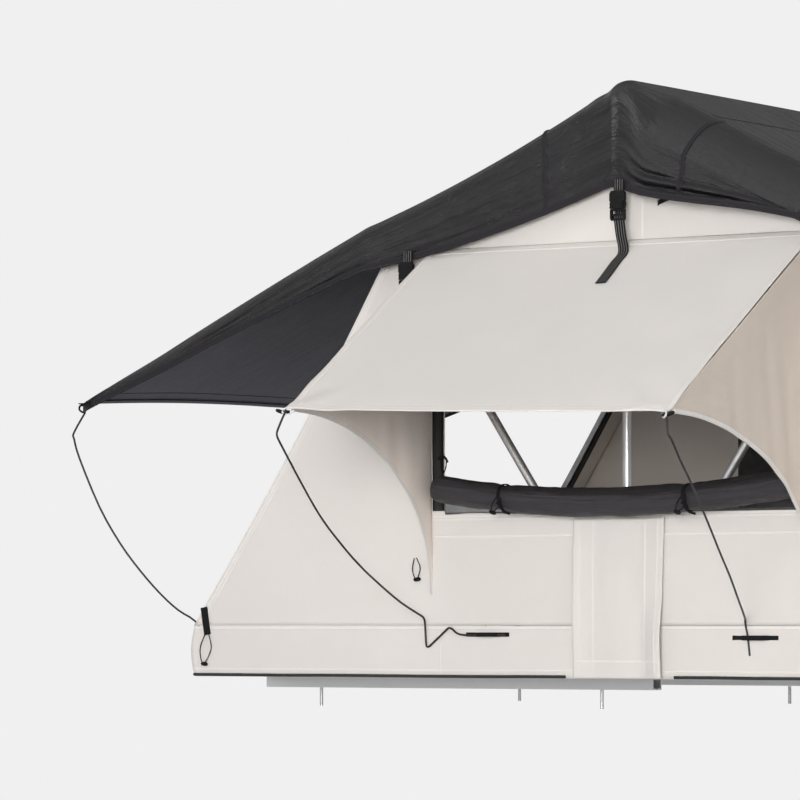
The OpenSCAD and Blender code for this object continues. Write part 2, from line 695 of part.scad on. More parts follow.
// The bow of an end rod: shares of the way outward and upward
end_curve = [[0.11, 0.05], [0.27, 0.1], [0.435, 0.175], [0.615, 0.28], [0.79, 0.405], [0.96, 0.57],
  [1.11, 0.79], [1.145, 0.88], [1.14, 0.91], [1, 1]];

// From the end of the floor up to a corner of the end awning
module rod_end(step, side) {
  foot = [-end_out - rod_set, side*(end_rod_y - step), rod_foot_z];
  top = foot + [0, 0, rod_stand];
  tip = [-fly_end_x - tip_gap, side*(fly_end_w - 14 - step), fly_end_z - 18];
  way = tip - top;
  rise = [for (f = end_curve) top + [f[0]*way.x, f[1]*way.y, f[1]*way.z]];
  rod(concat([foot], through(concat([foot + [0, 0, 0.7*rod_stand]], rise), 3)), [0, 1, 0]);
}

// Ladder, drawn hanging from its pin

ladder_pin_d = 10;
stile_wall = 2;
rung_d = 30;
slide_gap = 0.6*run_gap;
// The pin lies between the two sections, so that the ladder hangs plumb
section_x = (stile_d + slide_gap)/2;
stile_top = 16;
plug_l = 20;
ladder_x = base_l - ladder_inset;

module stile() difference() {
  cube([stile_d, stile_w, ladder_l]);
  translate([stile_wall, stile_wall, -1])
    cube([stile_d - 2*stile_wall, stile_w - 2*stile_wall, ladder_l - plug_l]);
}

module ladder_section() {
  for (y = [-ladder_w/2, ladder_w/2 - stile_w]) translate([-stile_d/2, y, -stile_top - ladder_l]) stile();
  for (i = [0:rung_n - 1])
    translate([0, -ladder_w/2 + stile_w/2, -stile_top - ladder_l*(i + 0.65)/rung_n])
      rotate([-90, 0, 0]) cylinder(h = ladder_w - stile_w, d = rung_d);
}

// The plate that carries the pin's eye, fixed to the outside of an upper stile
lug_t = 4;
lug_r = 14;
lug_l = 70;
module ladder_lug() side_plate(-ladder_w/2 - lug_t, -ladder_w/2 + stile_wall/2) difference() {
  union() {
    circle(lug_r);
    polygon([[0.7*lug_r, -0.7*lug_r], [-slide_gap/2, -2*lug_r], [-slide_gap/2, -stile_top - lug_l],
      [-stile_d, -stile_top - lug_l], [-stile_d, -stile_top], [-0.7*lug_r, 0.7*lug_r]]);
  }
  circle(ladder_pin_d/2 + pin_gap);
}

// The guide at the foot of an upper stile, round the stile that slides past it
guide_t = 3;
guide_h = 40;
module ladder_guide() translate([0, 0, -stile_top - ladder_l + 12]) linear_extrude(guide_h) {
  y = -ladder_w/2 - slide_gap - guide_t;
  x = stile_d + 1.5*slide_gap;
  translate([-stile_d + 4, y]) square([stile_d - 8, guide_t + slide_gap + stile_wall/2]);
  translate([-stile_d + 4, y]) square([stile_d - 4 + x, guide_t]);
  translate([x - 0.1, y]) square([guide_t, stile_w/2]);
}

module on_ladder() translate([ladder_x, 0, -ladder_drop]) children();

module ladder_upper() color(alloy_colour) on_ladder() {
  translate([-section_x, 0, 0]) ladder_section();
  both_sides() {
    ladder_lug();
    ladder_guide();
  }
}

module on_lower() on_ladder() translate([section_x, 0, ladder_lap - ladder_l]) children();

module ladder_lower() color(alloy_colour) on_lower() ladder_section();

ladder_foot_h = 24;
module ladder_feet() color(black_colour) on_lower() for (y = [-ladder_w/2, ladder_w/2 - stile_w])
  translate([-stile_d/2, y, -stile_top - ladder_l - ladder_foot_h]) cube([stile_d, stile_w, ladder_foot_h]);

ladder_plate_t = 4;
ladder_plate_y = ladder_w/2 + lug_t + run_gap;
ladder_plate_r = lug_r + 2;
ladder_plate_foot = 30;
module ladder_brackets() color(alloy_colour) on_ladder() both_sides() {
  side_plate(-ladder_plate_y - ladder_plate_t, -ladder_plate_y) difference() {
    union() {
      circle(ladder_plate_r);
      translate([-ladder_plate_r, 0]) square([2*ladder_plate_r, ladder_drop]);
    }
    circle(ladder_pin_d/2 + pin_gap);
  }
  translate([-ladder_plate_r, -ladder_plate_y - ladder_plate_foot, ladder_drop - ladder_plate_t])
    cube([2*ladder_plate_r, ladder_plate_foot, ladder_plate_t]);
}

module ladder_pins() color(steel_colour) on_ladder()
  hinge_pin(ladder_pin_d, ladder_w/2 - stile_wall, ladder_plate_y + ladder_plate_t);

placed() floor_board();  // floor_fixed
placed() edge_frame();  // edge_frame_fixed
placed() rail(-1);  // rail_near
placed() rail(1);  // rail_far
placed() rail_bolts();
placed() hinge_bracket(plate_y);  // brackets_fixed
placed() fold_pins();
placed() bow_pins(plate_y);  // bow_pins_fixed
placed() mattress();  // mattress_fixed
placed() skirt();  // skirt_fixed
placed() hem_piping();  // hem_piping_fixed
placed() webbing_fixed();
placed() rod_near_left();
placed() rod_end(0, -1);  // rod_end_left_near
placed() rod_end(0, 1);  // rod_end_left_far
placed() right_half() floor_board();  // floor_folding
placed() right_half() edge_frame();  // edge_frame_folding
placed() right_half() hinge_bracket(fold_plate_y);  // brackets_folding
placed() right_half() bow_pins(fold_plate_y);  // bow_pins_folding
placed() right_half() mattress();  // mattress_folding
placed() right_half() skirt();  // skirt_folding
placed() right_half() hem_piping();  // hem_piping_folding
placed() webbing_folding();
placed() rod_near_right();
placed() right_half() rod_end(rod_step, -1);  // rod_end_right_near
placed() right_half() rod_end(rod_step, 1);  // rod_end_right_far
placed() ladder_brackets();
placed() ladder_pins();
placed() left_bow() bow_tube(bow_len);  // bow_tube_left
placed() left_bow() side_feet();  // bow_feet_left
placed() left_bow() side_pole();  // fly_pole_left
placed() door_roll();  // door_roll_left
placed() right_half() left_bow() bow_tube(bow_len);  // bow_tube_right
placed() right_half() left_bow() side_feet();  // bow_feet_right
placed() right_half() left_bow() side_pole();  // fly_pole_right
placed() right_half() door_roll();  // door_roll_right
placed() ridge_bow() bow_tube(ridge_len);  // bow_tube_ridge
placed() ridge_bow() ridge_feet();  // bow_feet_ridge
placed() ridge_bow() ridge_pole();  // fly_pole_ridge
placed() side_wall();  // side_wall_near
placed() mirror([0, 1, 0]) side_wall();  // side_wall_far
placed() end_wall();  // end_wall_left
placed() right_half() end_wall();  // end_wall_right
placed() roof();  // roof_left
placed() right_half() roof();  // roof_right
placed() fly_sheet();
placed() fly_valance();  // fly_valance_near
placed() mirror([0, 1, 0]) fly_valance();  // fly_valance_far
placed() window_roll();
placed() window_zips();
placed() fold_flap(flap_top);  // fold_flap_near
placed() mirror([0, 1, 0]) fold_flap(flap_top_far);  // fold_flap_far
placed() fly_straps();
placed() fly_buckles();
placed() awning_near();
placed() awning_gussets();
placed() awning_far();
placed() ladder_upper();
placed() ladder_lower();
placed() ladder_feet();
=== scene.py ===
import math

import bpy
import numpy as np
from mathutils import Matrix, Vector


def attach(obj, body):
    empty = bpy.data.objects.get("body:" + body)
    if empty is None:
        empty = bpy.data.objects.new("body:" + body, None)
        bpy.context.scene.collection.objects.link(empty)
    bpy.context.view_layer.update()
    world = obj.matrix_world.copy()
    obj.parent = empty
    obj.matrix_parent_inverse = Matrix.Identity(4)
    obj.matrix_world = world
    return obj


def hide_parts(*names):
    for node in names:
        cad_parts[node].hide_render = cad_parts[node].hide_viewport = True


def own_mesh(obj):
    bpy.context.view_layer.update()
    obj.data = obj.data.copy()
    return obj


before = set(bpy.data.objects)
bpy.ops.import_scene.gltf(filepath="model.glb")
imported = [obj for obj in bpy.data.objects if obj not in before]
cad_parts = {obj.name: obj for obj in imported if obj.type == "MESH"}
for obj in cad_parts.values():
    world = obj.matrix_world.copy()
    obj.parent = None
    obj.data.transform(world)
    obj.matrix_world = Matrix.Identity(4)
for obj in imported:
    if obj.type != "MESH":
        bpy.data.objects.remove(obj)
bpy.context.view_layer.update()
scene = bpy.context.scene
scene.view_settings.view_transform = "Standard"
shift = np.array([0.6, 0.0, 0.028])  # from the fold, where the tent is drawn, to the part's origin
print("frame loaded")

cameraSettings = {
    "azimuth": 33.86,
    "elevation": -2.77,
    "distance": 11.074,
    "focal": 5.884,  # in widths of the picture
    "target": (-0.002, -0.70, 0.680),
}


def makeCamera(s):
    a, e = math.radians(s["azimuth"]), math.radians(s["elevation"])
    back = Vector((math.sin(a) * math.cos(e), -math.cos(a) * math.cos(e), math.sin(e)))
    data = bpy.data.cameras.new("camera")
    data.sensor_width = 36
    data.lens = 36 * s["focal"]
    data.clip_end = 200
    camera = bpy.data.objects.new("camera", data)
    camera.location = Vector(s["target"]) + back * s["distance"]
    camera.rotation_euler = back.to_track_quat("Z", "Y").to_euler()
    scene.collection.objects.link(camera)
    scene.camera = camera


makeCamera(cameraSettings)
print("camera set")


class Wire:
    # a shader socket that can be used in sums
    def __init__(self, tree, socket=None):
        self.tree, self.socket = tree, socket

    def node(self, kind, settings=None, inputs=None, out=0):
        made = self.tree.nodes.new("ShaderNode" + kind)
        for key, value in (settings or {}).items():
            setattr(made, key, value)
        for key, value in (inputs or {}).items():
            if isinstance(value, Wire):
                self.tree.links.new(value.socket, made.inputs[key])
            else:
                made.inputs[key].default_value = value
        return None if out is None else Wire(self.tree, made.outputs[out])

    def maths(self, operation, *values):
        return self.node("Math", {"operation": operation}, dict(enumerate(values)))

    def __add__(self, other):
        return self.maths("ADD", self, other)

    def __sub__(self, other):
        return self.maths("SUBTRACT", self, other)

    def __mul__(self, other):
        return self.maths("MULTIPLY", self, other)

    def __truediv__(self, other):
        return self.maths("DIVIDE", self, other)

    def __rsub__(self, other):
        return self.maths("SUBTRACT", other, self)

    def __lt__(self, other):
        return self.maths("LESS_THAN", self, other)

    __radd__ = __add__
    __rmul__ = __mul__

    def sine(self):
        return self.maths("SINE", self)

    def fract(self):
        return self.maths("FRACT", self)

    def size(self):
        return self.maths("ABSOLUTE", self)

    def mix(self, a, b):
        # two colours by this share
        pair = [(*c, 1) if isinstance(c, tuple) else c for c in (a, b)]
        return self.node("Mix", {"data_type": "RGBA"}, {0: self, 6: pair[0], 7: pair[1]}, out=2)

    def clothUv(self):
        uv = self.node("TexCoord", out="UV")
        return uv, *[self.node("SeparateXYZ", {}, {0: uv}, out=i) for i in (0, 1)]

    def place(self):
        spot = self.node("TexCoord", out="Object")
        return spot, *[self.node("SeparateXYZ", {}, {0: spot}, out=i) for i in (0, 1, 2)]

    def seen(self):
        # 1 for what the camera sees, straight, mirrored or through a gap
        kinds = "Is Camera Ray", "Is Glossy Ray", "Is Transmission Ray"
        rays = [self.node("LightPath", out=kind) for kind in kinds]
        return self.maths("MINIMUM", rays[0] + rays[1] + rays[2], 1.0)

    def stretch(self, spot, scale):
        return self.node("Mapping", {}, {"Vector": spot, "Scale": scale})

    def noise(self, spot, scale, detail=2.0, rough=0.5):
        inputs = {"Vector": spot, "Scale": scale, "Detail": detail, "Roughness": rough}
        return self.node("TexNoise", {}, inputs)

    def bump(self, height, distance, strength=1.0, under=None):
        inputs = {"Height": height, "Distance": distance, "Strength": strength}
        if under is not None:
            inputs["Normal"] = under
        return self.node("Bump", {}, inputs)


def finishOf(name, build, *tones, **fixed):
    made = bpy.data.materials.new(name)
    made.use_nodes = True
    tree = made.node_tree
    shader = tree.nodes["Principled BSDF"]
    for key, value in fixed.items():
        shader.inputs[key.replace("_", " ")].default_value = value
    for key, wire in build(Wire(tree), *tones).items():
        tree.links.new(wire.socket, shader.inputs[key])
    return made


pitch = {"canvas": 0.0011, "rip": 0.0075, "fly": 0.0009, "net": 0.0016, "foam": 0.0016}  # of the threads


def canvasLook(w, tone, dirtAndCreaseShade):
    uv, u, v = w.clothUv()
    turn = 2 * math.pi / pitch["canvas"]
    weave = (u * turn).sine() * (v * turn).sine()
    rip = ((u / pitch["rip"]).fract() < 0.09) + ((v / pitch["rip"]).fract() < 0.09)
    cloud = w.noise(uv, 5.0, 4.0, 0.6)
    slub = w.noise(w.stretch(uv, (90, 900, 1)), 1.0, 2.0)
    crease = w.noise(w.stretch(uv, (9, 6, 1)), 1.0, 5.0, 0.55)
    # the crease noise that sets the bump also darkens the crease hollows, painted shade on top of the cloth's
    # own mottling
    shade = cloud * 0.55 + slub * 0.25 + rip * -0.05 + crease * 0.2
    colour = shade.mix(dirtAndCreaseShade, tone)
    fine = w.bump(weave + rip * 0.6 + slub, 0.00035, 0.5)
    return {"Base Color": colour, "Roughness": 0.72 + slub * 0.2, "Normal": w.bump(crease, 0.006, 0.35, fine)}


def flyLook(w, tone, dustAndSheen, gloss):
    uv, u, v = w.clothUv()
    turn = 2 * math.pi / pitch["fly"]
    weave = (u * turn).sine() * (v * turn).sine()
    cloud = w.noise(uv, 4.0, 4.0, 0.6)
    streak = w.noise(w.stretch(uv, (3.5, 34, 1)), 1.0, 4.0, 0.6)
    crumple = w.noise(w.stretch(uv, (16, 22, 1)), 1.0, 4.0, 0.5)
    # the streak noise that raises the bump also lightens the streaks: painted sheen, on top of the cloth's
    # own random tone
    colour = (cloud * 0.6 + streak * 0.4).mix(tone, dustAndSheen)
    fine = w.bump(weave, 0.0002, 0.35)
    soft = w.bump(streak * 0.7 + crumple * 0.5, 0.014, 0.75, fine)
    up = w.node("SeparateXYZ", {}, {0: w.node("NewGeometry", out="Normal")}, out=2)
    dusty = w.maths("MAXIMUM", (up - 0.45) * 2.2, 0.0)  # the top is duller than the hanging sides
    return {"Base Color": colour, "Roughness": gloss + cloud * 0.16 + dusty * (0.84 - gloss), "Normal": soft}


def netLook(w, openness):
    uv, u, v = w.clothUv()
    turn = 2 * math.pi / pitch["net"]
    threads = ((u * turn).sine().size() + (v * turn).sine().size()) * 0.5
    cloud = w.noise(uv, 30.0, 3.0)
    folds = w.noise(w.stretch(uv, (7, 130, 1)), 1.0, 4.0, 0.6)
    # the fold noise that shapes the bump also lightens the fold crests: painted sheen along the net, with its
    # own threads and random tone
    shade = threads * 0.2 + cloud * 0.3 + folds * 0.5
    made = {
        "Base Color": shade.mix((0.003, 0.0026, 0.0032), (0.042, 0.037, 0.043)),
        "Roughness": 0.26 + cloud * 0.4,
        "Normal": w.bump(folds, 0.006, 0.7, w.bump(threads + cloud * 0.7, 0.0006, 0.6)),
    }
    if openness:
        made["Alpha"] = 1 - openness * (0.55 + cloud * 0.5)
    return made


def webbingLook(w, tone, tracer):
    uv, u, v = w.clothUv()
    ribs = (u * (2 * math.pi / 0.0022)).sine() * (v * (2 * math.pi / 0.003)).sine()
    lines = ((v / 0.0062).fract() - 0.5).size() < 0.1
    wear = w.noise(uv, 120.0, 3.0)
    plain = (ribs * 0.3 + wear * 0.7).mix(tone, tuple(1.8 * c + 0.008 for c in tone))
    colour = (lines * tracer).mix(plain, (0.42, 0.41, 0.39)) if tracer else plain
    return {"Base Color": colour, "Roughness": 0.62 + wear * 0.25, "Normal": w.bump(ribs + wear, 0.0005, 0.7)}


def seamLook(w, tone, thread, rows):
    # tape with rows of stitches along it
    uv, u, v = w.clothUv()
    dash = (u / 0.0042).fract() < 0.72
    row = sum(((v - at).size() < 0.0008 for at in rows[1:]), (v - rows[0]).size() < 0.0008)
    stitch = dash * row
    pucker = (u * (2 * math.pi / 0.021)).sine() * 0.4 + w.noise(w.stretch(uv, (60, 200, 1)), 1.0, 3.0)
    cloud = w.noise(uv, 8.0, 3.0)
    colour = stitch.mix(cloud.mix(tuple(0.93 * c for c in tone), tone), thread)
    rise = w.bump(pucker + stitch * 0.8, 0.0012, 0.6)
    return {"Base Color": colour, "Roughness": 0.75 + cloud * 0.1, "Normal": rise}


def zipLook(w):
    uv, u, v = w.clothUv()
    middle = v.size() < 0.0032
    teeth = ((u / 0.0036).fract() < 0.55) * middle
    grain = w.noise(uv, 240.0, 2.0)
    colour = teeth.mix((0.012, 0.012, 0.013), (0.03, 0.03, 0.032))
    rise = w.bump(teeth + grain * 0.4, 0.0012)
    return {"Base Color": colour, "Roughness": 0.7 - teeth * 0.3 + grain * 0.1, "Normal": rise}


def metalLook(w, tone, worn, rough, along):
    # drawn or brushed metal, finer across the grain than along it
    spot = w.place()[0]
    grain = w.noise(w.stretch(spot, along), 1.0, 3.0)
    cloud = w.noise(spot, 14.0, 4.0, 0.6)
    colour = (grain * 0.4 + cloud * 0.6).mix(tone, worn)
    rise = w.bump(grain, 0.0002, 0.4)
    return {"Base Color": colour, "Roughness": rough + grain * 0.14 + cloud * 0.1, "Normal": rise}


def plasticLook(w, tone, rough):
    spot = w.place()[0]
    grain = w.noise(spot, 900.0, 2.0)
    cloud = w.noise(spot, 30.0, 3.0)
    colour = cloud.mix(tone, tuple(1.5 * c + 0.006 for c in tone))
    return {"Base Color": colour, "Roughness": rough + grain * 0.18, "Normal": w.bump(grain, 0.0002, 0.5)}


def boardLook(w):
    # pressed panel under a pale coat, with fine grain
    spot = w.place()[0]
    grain = w.noise(w.stretch(spot, (6, 160, 40)), 1.0, 5.0, 0.6)
    speck = w.noise(spot, 420.0, 2.0)
    colour = (grain * 0.7 + speck * 0.3).mix((0.2, 0.19, 0.18), (0.36, 0.35, 0.33))
    rise = w.bump(grain + speck * 0.5, 0.0004, 0.6)
    return {"Base Color": colour, "Roughness": 0.45 + grain * 0.25, "Normal": rise}


def foamLook(w):
    spot, x, y = w.place()[:3]
    turn = 2 * math.pi / pitch["foam"]
    weave = (x * turn).sine() * (y * turn).sine()
    cloud = w.noise(spot, 6.0, 4.0)
    pill = w.noise(spot, 500.0, 2.0)
    colour = (cloud * 0.6 + pill * 0.4).mix((0.1, 0.105, 0.12), (0.19, 0.195, 0.215))
    return {"Base Color": colour, "Roughness": 0.8 + pill * 0.15, "Normal": w.bump(weave + pill, 0.0005, 0.6)}


# the darker cream carries the cloth's own mottling and also painted shade in its creases
cream, creamDirtAndCreaseShade = (0.735, 0.700, 0.668), (0.63, 0.595, 0.56)
look = {
    "canvas": finishOf("canvas", canvasLook, cream, creamDirtAndCreaseShade, Sheen_Weight=0.15),
    # painted light: the inside faces get a warmer cream than the outside, standing in for warm light shining
    # through the cloth
    "canvasInPaintedLight": finishOf("canvas_inside_painted_light", canvasLook, (0.76, 0.69, 0.625), (0.66, 0.588, 0.528)),
    # painted shade: the gussets' outer faces get a darker, warmer cream than the walls, standing in for the
    # shade on them
    "gusset": finishOf("gusset_canvas_painted_shade", canvasLook, (0.68, 0.60, 0.53), (0.58, 0.505, 0.44)),
    # painted light: the gussets' inner faces get a lighter, warmer cream than the walls, standing in for
    # light shining through the cloth
    "gussetInPaintedLight": finishOf("gusset_inside_painted_light", canvasLook, (0.80, 0.72, 0.655), (0.70, 0.625, 0.565)),
    "seam": finishOf("canvas_seam", seamLook, (0.72, 0.685, 0.652), (0.57, 0.54, 0.505), (-0.004, 0.004)),
    "fly": finishOf("fly_cloth", flyLook, (0.003, 0.0022, 0.003), (0.0075, 0.0057, 0.0075), 0.19,
                    Specular_IOR_Level=0.45),
    "flyIn": finishOf("fly_coating", flyLook, (0.10, 0.101, 0.116), (0.18, 0.182, 0.207), 0.68,
                      Specular_IOR_Level=0.08),
    "flySeam": finishOf("fly_seam", seamLook, (0.0175, 0.0158, 0.018), (0.03, 0.0275, 0.031), (-0.005, 0.005),
                        Specular_IOR_Level=0.2),
    "net": finishOf("net", netLook, 0, Specular_IOR_Level=0.4),
    "netLoose": finishOf("net_loose", netLook, 0.55),
    "netPane": finishOf("net_pane", netLook, 0.5),
    "webbing": finishOf("webbing", webbingLook, (0.006, 0.006, 0.0064), 0, Specular_IOR_Level=0.1),
    "tracer": finishOf("strap_webbing", webbingLook, (0.006, 0.006, 0.0064), 0.45, Specular_IOR_Level=0.1),
    "loop": finishOf("white_loop", webbingLook, (0.6, 0.6, 0.59), 0),
    "zip": finishOf("zip", zipLook),
    "alloy": finishOf("alloy", metalLook, (0.64, 0.645, 0.65), (0.77, 0.772, 0.775), 0.3, (60, 60, 900),
                      Metallic=1.0),
    "steel": finishOf("pin_steel", metalLook, (0.36, 0.36, 0.37), (0.5, 0.5, 0.5), 0.22, (500, 60, 500),
                      Metallic=1.0),
    "rod": finishOf("rod_steel", metalLook, (0.018, 0.018, 0.02), (0.05, 0.05, 0.053), 0.3, (400, 400, 60),
                    Metallic=0.7),
    "plastic": finishOf("buckle_plastic", plasticLook, (0.004, 0.004, 0.0043), 0.42, Specular_IOR_Level=0.12),
    "rubber": finishOf("foot_rubber", plasticLook, (0.014, 0.014, 0.014), 0.7),
    "board": finishOf("floor_board", boardLook),
    "foam": finishOf("mattress_cover", foamLook, Sheen_Weight=0.2),
    "piping": finishOf("hem_piping", webbingLook, (0.01, 0.01, 0.011), 0),
}
sewnCanvas = ["canvas", "canvasInPaintedLight", "seam"]  # out, in and at the seams; the inside finish is a warmer cream, painted light shining through the cloth
print("finishes made:", len(look))


def lerp(a, b, t):
    return a + (b - a) * t


def ease(t):
    t = np.clip(t, 0, 1)
    return t * t * (3 - 2 * t)


def hump(t):
    return 4 * t * (1 - t)


def dent(x, at, width):
    return np.exp(-(((x - at) / width) ** 2))


def ripple(x, y, seed):
    # smooth noise from -1 to 1
    i, j = np.floor(x), np.floor(y)
    u, v = ease(x - i), ease(y - j)

    def corner(a, b):
        return np.modf(np.abs(np.sin(a * 127.1 + b * 311.7 + seed * 74.7) * 43758.5453))[0] * 2 - 1

    low = lerp(corner(i, j), corner(i + 1, j), u)
    return lerp(low, lerp(corner(i, j + 1), corner(i + 1, j + 1), u), v)


def unit(v):
    return v / np.maximum(np.linalg.norm(v, axis=-1, keepdims=True), 1e-12)


def spots(x, y, z):
    return np.stack(np.broadcast_arrays(x, y, z), -1)


def along(points):
    steps = np.linalg.norm(np.diff(points, axis=0), axis=-1)
    return np.concatenate([[0], np.cumsum(steps)])


def curve(points, n):
    # a smooth line through points, at n even steps
    p = np.asarray(points, float)
    p = np.vstack([2 * p[0] - p[1], p, 2 * p[-1] - p[-2]])
    fine = []
    for a, b, c, d in zip(p[:-3], p[1:-2], p[2:-1], p[3:]):
        square, cube = 2 * a - 5 * b + 4 * c - d, 3 * b - a - 3 * c + d
        for t in np.linspace(0, 1, 16, endpoint=False):
            fine.append(0.5 * (2 * b + (c - a) * t + square * t**2 + cube * t**3))
    fine = np.array(fine + [p[-2]])
    s = along(fine)
    return np.stack([np.interp(np.linspace(0, s[-1], n), s, fine[:, k]) for k in range(3)], -1)


class Piece:
    # gathers the surfaces of one sewn or moulded piece
    def __init__(self):
        self.points, self.faces, self.slots, self.smooth, self.uvs, self.count = [], [], [], [], [], 0

    def put(self, points, faces, uvs, slot, smooth=True):
        self.points.append(np.asarray(points, float).reshape(-1, 3))
        for face, uv in zip(faces, uvs):
            self.faces.append([int(i) + self.count for i in face])
            self.uvs.extend(uv)
        self.slots += [slot] * len(faces)
        self.smooth += [smooth] * len(faces)
        self.count += len(self.points[-1])

    def sheet(self, grid, thick, slots=(0, 0), keep=None, face=None):
        # a closed sheet of cloth: the grid is its outer side
        grid = np.asarray(grid, float)
        if face is not None:
            tilt = np.cross(np.gradient(grid, axis=1), np.gradient(grid, axis=0))
            if (tilt @ np.asarray(face, float)).sum() < 0:
                grid = grid[:, ::-1]
                keep = keep if keep is None else keep[:, ::-1]
        rows, cols = grid.shape[:2]
        normal = unit(np.cross(np.gradient(grid, axis=1), np.gradient(grid, axis=0)))
        index = np.arange(rows * cols).reshape(rows, cols)
        quads = np.stack([index[:-1, :-1], index[:-1, 1:], index[1:, 1:], index[1:, :-1]], -1)
        keep = np.ones((rows - 1, cols - 1), bool) if keep is None else keep
        u, v = along(grid[rows // 2]), along(grid[:, cols // 2])
        uv = np.stack(np.broadcast_arrays(u[None, :], v[:, None]), -1).reshape(-1, 2)
        both = np.concatenate([grid.reshape(-1, 3), (grid - normal * thick).reshape(-1, 3)])
        front, m = quads[keep], rows * cols
        back = front[:, ::-1]
        room = np.pad(keep, 1)
        rims = []
        for corners, (i, j) in (((1, 0), (0, 1)), ((2, 1), (1, 2)), ((3, 2), (2, 1)), ((0, 3), (1, 0))):
            beside = room[i:i + rows - 1, j:j + cols - 1]
            edge = quads[keep & ~beside][:, corners]
            rims.append(np.concatenate([edge, edge[:, ::-1] + m], 1))
        rims = np.concatenate(rims)
        every = np.concatenate([front, back + m, rims]).ravel()
        used, places = np.unique(every, return_inverse=True)
        here, n = places.reshape(-1, 4), len(front)
        self.put(both[used], here[:n], uv[front], slots[0])
        self.put([], here[n:2 * n] - len(used), uv[back], slots[1])
        self.put([], here[2 * n:] - len(used), uv[rims % m], slots[0], False)

    def skin(self, points, length, pairs, slot, smooth):
        # rings of points joined along a path and closed at both ends; each pair is one side of a ring,
        # as the two corners with their places across
        k, faces, uvs = len(pairs), [], []
        for i in range(len(length) - 1):
            for (j, a), (q, b) in pairs:
                faces.append((i * k + j, i * k + q, (i + 1) * k + q, (i + 1) * k + j))
                uvs.append([(length[i], a), (length[i], b), (length[i + 1], b), (length[i + 1], a)])
        self.put(points, faces, uvs, slot, smooth)
        first, last = list(range(k)), list(range(len(points) - k, len(points)))
        for ends in (first[::-1], last) if smooth else (first, last[::-1]):
            self.put([], [[e - len(points) for e in ends]], [[(0.0, 0.0)] * k], slot, False)

    def tube(self, path, radius, sides=10, slot=0, up=(0.13, 0.31, 0.94)):
        path, radius = np.asarray(path, float), np.asarray(radius, float)
        radius = np.broadcast_to(radius[:, None] if radius.ndim == 1 else radius, (len(path), sides))
        ahead = unit(np.gradient(path, axis=0))
        side = unit(np.cross(ahead, np.asarray(up, float)))
        top = np.cross(side, ahead)
        turn = np.linspace(0, 2 * math.pi, sides, endpoint=False)
        ring = side[:, None] * np.cos(turn)[None, :, None] + top[:, None] * np.sin(turn)[None, :, None]
        points = (path[:, None] + ring * radius[..., None]).reshape(-1, 3)
        girth = 2 * math.pi * float(np.mean(radius)) / sides
        pairs = [((j, j * girth), ((j + 1) % sides, (j + 1) * girth)) for j in range(sides)]
        self.skin(points, along(path), pairs, slot, True)

    def ribbon(self, path, normal, width, rise=0.0009, sink=0.0006, slot=0):
        # tape sewn along a line on a surface
        path = np.asarray(path, float)
        normal = unit(np.broadcast_to(np.asarray(normal, float), path.shape))
        across = unit(np.cross(normal, np.gradient(path, axis=0)))
        normal = unit(np.cross(np.gradient(path, axis=0), across))
        half, edge = width / 2, min(0.0012, width / 5)
        outline = [(-half, -sink), (-half, 0.4 * rise), (-half + edge, rise)]
        outline += [(-a, b) for a, b in outline[::-1]]
        points = np.stack([path + across * a + normal * b for a, b in outline], 1).reshape(-1, 3)
        corners = [(j, a) for j, (a, _) in enumerate(outline)]
        self.skin(points, along(path), list(zip(corners[1:] + corners[:1], corners)), slot, False)

    def plate(self, outline, origin, right, up, depth, slot=0, soft=0.0012):
        # a moulded plate from an outline, with softened edges, its back at the origin
        flat = np.asarray(outline, float)
        right, up = np.asarray(right, float), np.asarray(up, float)
        out = np.cross(right, up)
        middle = flat.mean(0)
        inward = unit(middle - flat) * soft
        layers = [(flat + inward, 0), (flat, soft), (flat, depth - soft), (flat + inward, depth)]
        origin = np.asarray(origin)
        points = np.concatenate([origin + f[:, :1] * right + f[:, 1:] * up + out * d for f, d in layers])
        k = len(flat)
        faces = []
        for low in (0, k, 2 * k):
            faces += [(low + j, low + (j + 1) % k, low + k + (j + 1) % k, low + k + j) for j in range(k)]
        faces += [list(range(k))[::-1], [3 * k + j for j in range(k)]]
        self.put(points, faces, [[(0.0, 0.0)] * len(f) for f in faces], slot, False)

    def make(self, name, finishes, body, node, slot, gathered=False):
        mesh = bpy.data.meshes.new(name)
        mesh.from_pydata((np.concatenate(self.points) + shift).tolist(), [], self.faces)
        mesh.polygons.foreach_set("material_index", self.slots)
        mesh.polygons.foreach_set("use_smooth", self.smooth)
        mesh.uv_layers.new(name="cloth").data.foreach_set("uv", np.asarray(self.uvs, np.float32).ravel())
        for f in finishes:
            mesh.materials.append(look[f])
        obj = bpy.data.objects.new(name, mesh)
        scene.collection.objects.link(obj)
        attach(obj, body)
        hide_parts(node)
        if gathered:
            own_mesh(obj)
        print("made", name, len(mesh.polygons))
        return obj


def toggle(piece, at, down, cord, barrel, size):
    # a loop of elastic with a barrel toggle
    at, down = np.asarray(at, float), np.asarray(down, float)
    side = unit(np.cross(down, (0.0, 1.0, 0.0)) + 1e-6) * size * 0.22
    loop = curve([at + side * 0.3, at + down * size * 0.5 + side, at + down * size - side * 0.2,
                  at + down * size * 0.55 - side, at - side * 0.3], 22)
    piece.tube(loop, 0.0013, 6, cord)
    axis = unit(side)
    middle = at + down * size
    t = np.linspace(-1, 1, 9)
    girth = 0.0048 * np.sqrt(np.clip(1 - 0.75 * t**4, 0.05, 1))
    piece.tube(middle + np.outer(t, axis) * 0.009, girth, 10, barrel)


